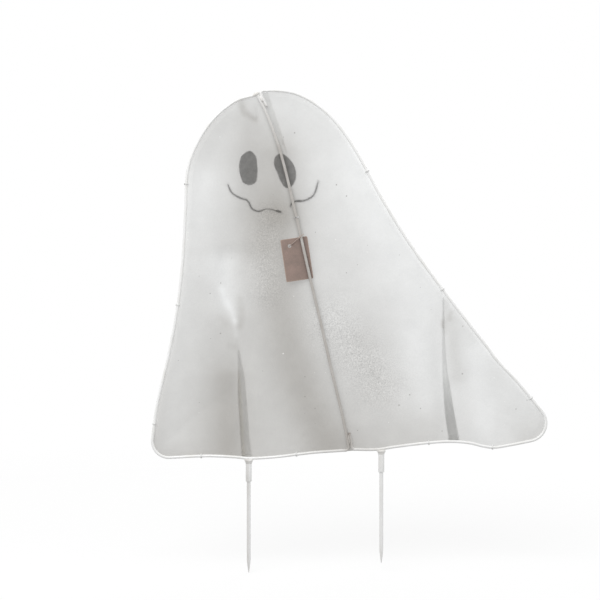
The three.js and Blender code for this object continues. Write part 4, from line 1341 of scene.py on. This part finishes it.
def felt_strip(name, node, line, swell):
    """A narrow felt strip along a mouth line, with rounded ends."""
    line = point_at(line, np.linspace(0, 1, STRIP_POINTS))
    share = np.linspace(-1, 1, STRIP_POINTS)
    half = MOUTH_WIDTH / 2 * np.sqrt(np.clip(1 - share**STRIP_END_POWER, STRIP_END_LEAST, 1))
    half = half * np.interp((share + 1) / 2, *swell)
    vertices = []
    for across, up in STRIP_SECTION:
        spots = np.array([offset(line, across * h)[i] for i, h in enumerate(half)])
        heights = heights_of(spots) + FELT_LIFT + up * FELT_THICKNESS
        vertices.append(np.stack([spots[:, 0], heights, spots[:, 1]], axis=1))
    vertices = np.stack(vertices, axis=1).reshape(-1, 3)
    sides = len(STRIP_SECTION)
    faces = []
    for row in range(STRIP_POINTS - 1):
        faces += band(row * sides, (row + 1) * sides, sides)
    faces += [tuple(range(sides)), tuple((STRIP_POINTS - 1) * sides + k for k in range(sides))]
    felt_piece(name, node, vertices, faces)


felt_patch("left_felt_eye", "left_eye", eye_shapes[0])
felt_patch("right_felt_eye", "right_eye", eye_shapes[1])
felt_strip("left_felt_mouth", "mouth_left", mouth_lines[0], MOUTH_SWELL[0])
felt_strip("right_felt_mouth", "mouth_right", mouth_lines[1], MOUTH_SWELL[1])


# Thread ties

# Where the ties on the hem are, and how far a tie looks along its wire: a share of an edge, and millimetres
HEM_TIES = (
    -STAKE_SPACING / 2 - HEM_TIE_FROM_STAKE, -STAKE_SPACING / 2 + HEM_TIE_FROM_STAKE,
    STAKE_SPACING / 2 + HEM_TIE_FROM_STAKE, RIGHT_TIP[0] - WING_TIE_FROM_TIP,
)
LOOK_AHEAD_SHARE, LOOK_AHEAD = 0.004, 3.6
# How fine the thread is made: steps in a turn, sides of a strand, and a knot's subdivisions
TURN_STEPS, STRAND_SIDES, KNOT_SUBDIVISIONS = 28, 8, 3


def tie_places():
    """Each tie's spot on its wire, and the wire's direction there."""
    places = []
    for edge in (left_edge, right_edge):
        for index in range(TIES_PER_EDGE):
            share = (index + 1) / (TIES_PER_EDGE + LAST_TIE_SHORTFALL)
            spot, ahead = point_at(edge, share), point_at(edge, share + LOOK_AHEAD_SHARE)
            places.append((spot, unit(ahead - spot)))
    for across in HEM_TIES:
        spot = hem_point(across)
        places.append((spot, unit(hem_point(across + LOOK_AHEAD) - spot)))
    on_brace = TAG_KNOT_HEIGHT + BRACE_TIE_ABOVE_KNOT
    spot = at_height(brace, on_brace)
    places.append((spot, unit(spot - at_height(brace, on_brace - LOOK_AHEAD))))
    return places


def thread_wrap_tree():
    """Wraps thread round the wire and the cloth's margin at each point, and sets a knot on it."""
    tree, given, result = effect(
        "thread_wraps",
        [("Geometry", "NodeSocketGeometry", None), ("Thread Radius", "NodeSocketFloat", 0.0004),
         ("Wraps", "NodeSocketFloat", 2.0), ("Wrap Width", "NodeSocketFloat", 0.0012),
         ("Loop Half Width", "NodeSocketFloat", 0.0025), ("Knot Radius", "NodeSocketFloat", 0.0008),
         ("Thread", "NodeSocketMaterial", None)],
        [("Geometry", "NodeSocketGeometry")],
        tree="GeometryNodeTree",
    )
    w = Wiring(tree)
    along = w.add("GeometryNodeInputNamedAttribute", data_type="FLOAT_VECTOR")
    along.inputs["Name"].default_value = "along"
    reach = w.add("GeometryNodeInputNamedAttribute", data_type="FLOAT")
    reach.inputs["Name"].default_value = "reach"
    helix = w.add("GeometryNodeCurveSpiral")
    helix.inputs["Resolution"].default_value = TURN_STEPS
    w.join(given["Wraps"], helix.inputs["Rotations"])
    w.feed(1.0, helix.inputs["Start Radius"])
    w.feed(1.0, helix.inputs["End Radius"])
    w.join(given["Wrap Width"], helix.inputs["Height"])
    middle = w.add("GeometryNodeTransform")
    w.join(helix.outputs[0], middle.inputs["Geometry"])
    w.join(w.vector(Z=w.maths("MULTIPLY", given["Wrap Width"], -0.5)), middle.inputs["Translation"])
    turn = w.add("FunctionNodeAlignRotationToVector", axis="Z")
    w.join(along.outputs["Attribute"], turn.inputs["Vector"])
    size = w.vector(X=given["Loop Half Width"], Y=reach.outputs["Attribute"], Z=1.0)
    loops = w.add("GeometryNodeInstanceOnPoints")
    w.join(given["Geometry"], loops.inputs["Points"])
    w.join(middle.outputs[0], loops.inputs["Instance"])
    w.join(turn.outputs[0], loops.inputs["Rotation"])
    w.join(size, loops.inputs["Scale"])
    real_loops = w.add("GeometryNodeRealizeInstances")
    w.join(loops.outputs[0], real_loops.inputs[0])
    section = w.add("GeometryNodeCurvePrimitiveCircle")
    section.inputs["Resolution"].default_value = STRAND_SIDES
    w.join(given["Thread Radius"], section.inputs["Radius"])
    strands = w.add("GeometryNodeCurveToMesh")
    strands.inputs["Fill Caps"].default_value = True
    w.join(real_loops.outputs[0], strands.inputs["Curve"])
    w.join(section.outputs["Curve"], strands.inputs["Profile Curve"])
    bead = w.add("GeometryNodeMeshIcoSphere")
    bead.inputs["Subdivisions"].default_value = KNOT_SUBDIVISIONS
    w.join(given["Knot Radius"], bead.inputs["Radius"])
    forward = w.vector(Y=w.maths("MULTIPLY", reach.outputs["Attribute"], -1.0))
    to_front = w.add("GeometryNodeSetPosition")
    w.join(given["Geometry"], to_front.inputs["Geometry"])
    w.join(forward, to_front.inputs["Offset"])
    knots = w.add("GeometryNodeInstanceOnPoints")
    w.join(to_front.outputs[0], knots.inputs["Points"])
    w.join(bead.outputs["Mesh"], knots.inputs["Instance"])
    both = w.add("GeometryNodeJoinGeometry")
    w.join(strands.outputs[0], both.inputs[0])
    w.join(knots.outputs[0], both.inputs[0])
    real = w.add("GeometryNodeRealizeInstances")
    w.join(both.outputs[0], real.inputs[0])
    painted = w.add("GeometryNodeSetMaterial")
    w.join(real.outputs[0], painted.inputs["Geometry"])
    w.join(given["Thread"], painted.inputs["Material"])
    w.join(painted.outputs[0], result["Geometry"])
    return tree


def thread_ties():
    """All ties as one piece: thread wrapped at each tie's place, turned into a mesh."""
    front = -(WIRE_RADIUS + SEAT_GAP + THREAD_RADIUS)
    points, ways, reaches = [], [], []
    for spot, along in tie_places():
        back = cloth_height(spot[None, :], relief=False)[0] + CLOTH_THICKNESS + SEAT_GAP + THREAD_RADIUS
        points.append((spot[0], (front + back) / 2, spot[1]))
        ways.append((along[0], 0, along[1]))
        reaches.append((back - front) / 2 * MM)
    source = make_piece("tie_points", points, [], thread_material, smooth=False)
    source.data.attributes.new("along", "FLOAT_VECTOR", "POINT").data.foreach_set("vector", np.ravel(ways))
    source.data.attributes.new("reach", "FLOAT", "POINT").data.foreach_set("value", reaches)
    wraps = source.modifiers.new("thread_wraps", "NODES")
    wraps.node_group = thread_wrap_tree()
    sockets = {s.name: s.identifier for s in wraps.node_group.interface.items_tree if s.in_out == "INPUT"}
    wraps[sockets["Thread Radius"]] = THREAD_RADIUS * MM
    wraps[sockets["Loop Half Width"]] = (WIRE_RADIUS + SEAT_GAP + THREAD_RADIUS) * MM
    wraps[sockets["Thread"]] = thread_material
    bpy.context.view_layer.update()
    seen = source.evaluated_get(bpy.context.evaluated_depsgraph_get())
    mesh = bpy.data.meshes.new_from_object(seen)
    ties = bpy.data.objects.new("thread_ties", mesh)
    bpy.context.collection.objects.link(ties)
    bpy.data.objects.remove(source)
    return ties


# Where a tie is darker, how far and how strongly, and how much darker the ties are elsewhere
TIE_DARKENING = [((-164.6, 374.2), 1.5, 0.75), ((-175.9, 219.4), 1.6, 0.6), ((-24.4, 330.9), 1.9, 0.9)]
SLIGHT_DARKENING = 0.06


def tie_darkening(spots):
    """How much darker the thread is: slightly everywhere, more at a few ties."""
    darkened = np.full(len(spots), SLIGHT_DARKENING)
    for place, reach, strength in TIE_DARKENING:
        darkened = np.maximum(darkened, strength * fading(np.linalg.norm(spots - place, axis=1), reach))
    return (darkened,)


ties = thread_ties()
mark(ties, "wear_and_shade", tie_darkening)
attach(ties, "frame")
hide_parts(*[f"edge_tie_{n}" for n in range(1, 2 * TIES_PER_EDGE + len(HEM_TIES) + 1)], "brace_tie")


# Floor, backdrop and light

# How far the floor reaches each way, and its distance below the stakes' tips
FLOOR_REACH, FLOOR_GAP = 4000, 0.5
# The floor's tone as the camera sees it and for the light that it throws back, and its own glow
FLOOR_SEEN, FLOOR_BOUNCE = 0.75, 0.35
FLOOR_GLOW, FLOOR_GLOW_SHARE = 1.09, 0.6
# Between these distances in metres the floor fades out
FLOOR_FADE = (0.55, 1.5)
# How bright the studio's white is as a light, while the camera sees it as 1
STUDIO_GLOW = 0.89
LAMP_AIM = (0, 0, 0.25)


def camera_sees(w):
    """1 on the rays that show the background: the camera's own, and those through gloss and glass."""
    path = w.add("ShaderNodeLightPath")
    seen = w.maths("MAXIMUM", path.outputs["Is Camera Ray"], path.outputs["Is Glossy Ray"])
    return w.maths("MAXIMUM", seen, path.outputs["Is Transmission Ray"])


def paper_floor():
    """White to the camera, with the object's shadow still on it, and fading out into the white around."""
    made, w, shader, where = material("paper_floor")
    seen = camera_sees(w)
    w.join(w.remap(seen, (0.0, 1.0), to=(FLOOR_BOUNCE, FLOOR_SEEN)), shader.inputs["Base Color"])
    shader.inputs["Roughness"].default_value = 1.0
    shader.inputs["Specular IOR Level"].default_value = 0.0
    glow = w.add("ShaderNodeEmission")
    glow.inputs["Strength"].default_value = FLOOR_GLOW
    lit = w.mix_shaders(w.maths("MULTIPLY", seen, FLOOR_GLOW_SHARE), shader, glow)
    away = w.add("ShaderNodeVectorMath", operation="LENGTH")
    w.join(where, away.inputs[0])
    gone = w.remap(away.outputs["Value"], FLOOR_FADE)
    faded = w.mix_shaders(w.maths("MULTIPLY", seen, gone), lit, w.add("ShaderNodeBsdfTransparent"))
    w.join(faded.outputs[0], made.node_tree.nodes["Material Output"].inputs["Surface"])
    return made


floor_level = cad_box[0][2] * 1000 - FLOOR_GAP
floor_corners = [
    (x * FLOOR_REACH, y * FLOOR_REACH, floor_level) for x, y in ((-1, -1), (1, -1), (1, 1), (-1, 1))
]
floor = make_piece("floor", floor_corners, [(0, 1, 2, 3)], paper_floor(), smooth=False)

world = bpy.data.worlds.new("soft_studio")
bpy.context.scene.world = world
world.use_nodes = True
studio = Wiring(world.node_tree)
sky = world.node_tree.nodes["Background"]
sky.inputs["Color"].default_value = (1, 1, 1, 1)
studio.join(
    studio.remap(camera_sees(studio), (0.0, 1.0), to=(STUDIO_GLOW, 1.0)), sky.inputs["Strength"])


def soft_lamp(name, place, aim, size, power):
    """A square area lamp, in metres and watts, that faces a point."""
    lamp = bpy.data.lights.new(name, "AREA")
    lamp.size, lamp.energy = size, power
    piece = bpy.data.objects.new(name, lamp)
    piece.location = place
    piece.rotation_euler = (Vector(aim) - Vector(place)).to_track_quat("-Z", "Y").to_euler()
    bpy.context.collection.objects.link(piece)


soft_lamp("high_key", place=(-0.7, -1.5, 1.7), aim=LAMP_AIM, size=1.5, power=19)
soft_lamp("far_glow", place=(0.9, 1.8, 1.2), aim=LAMP_AIM, size=1.6, power=9.5)

bpy.context.scene.view_settings.view_transform = "Standard"
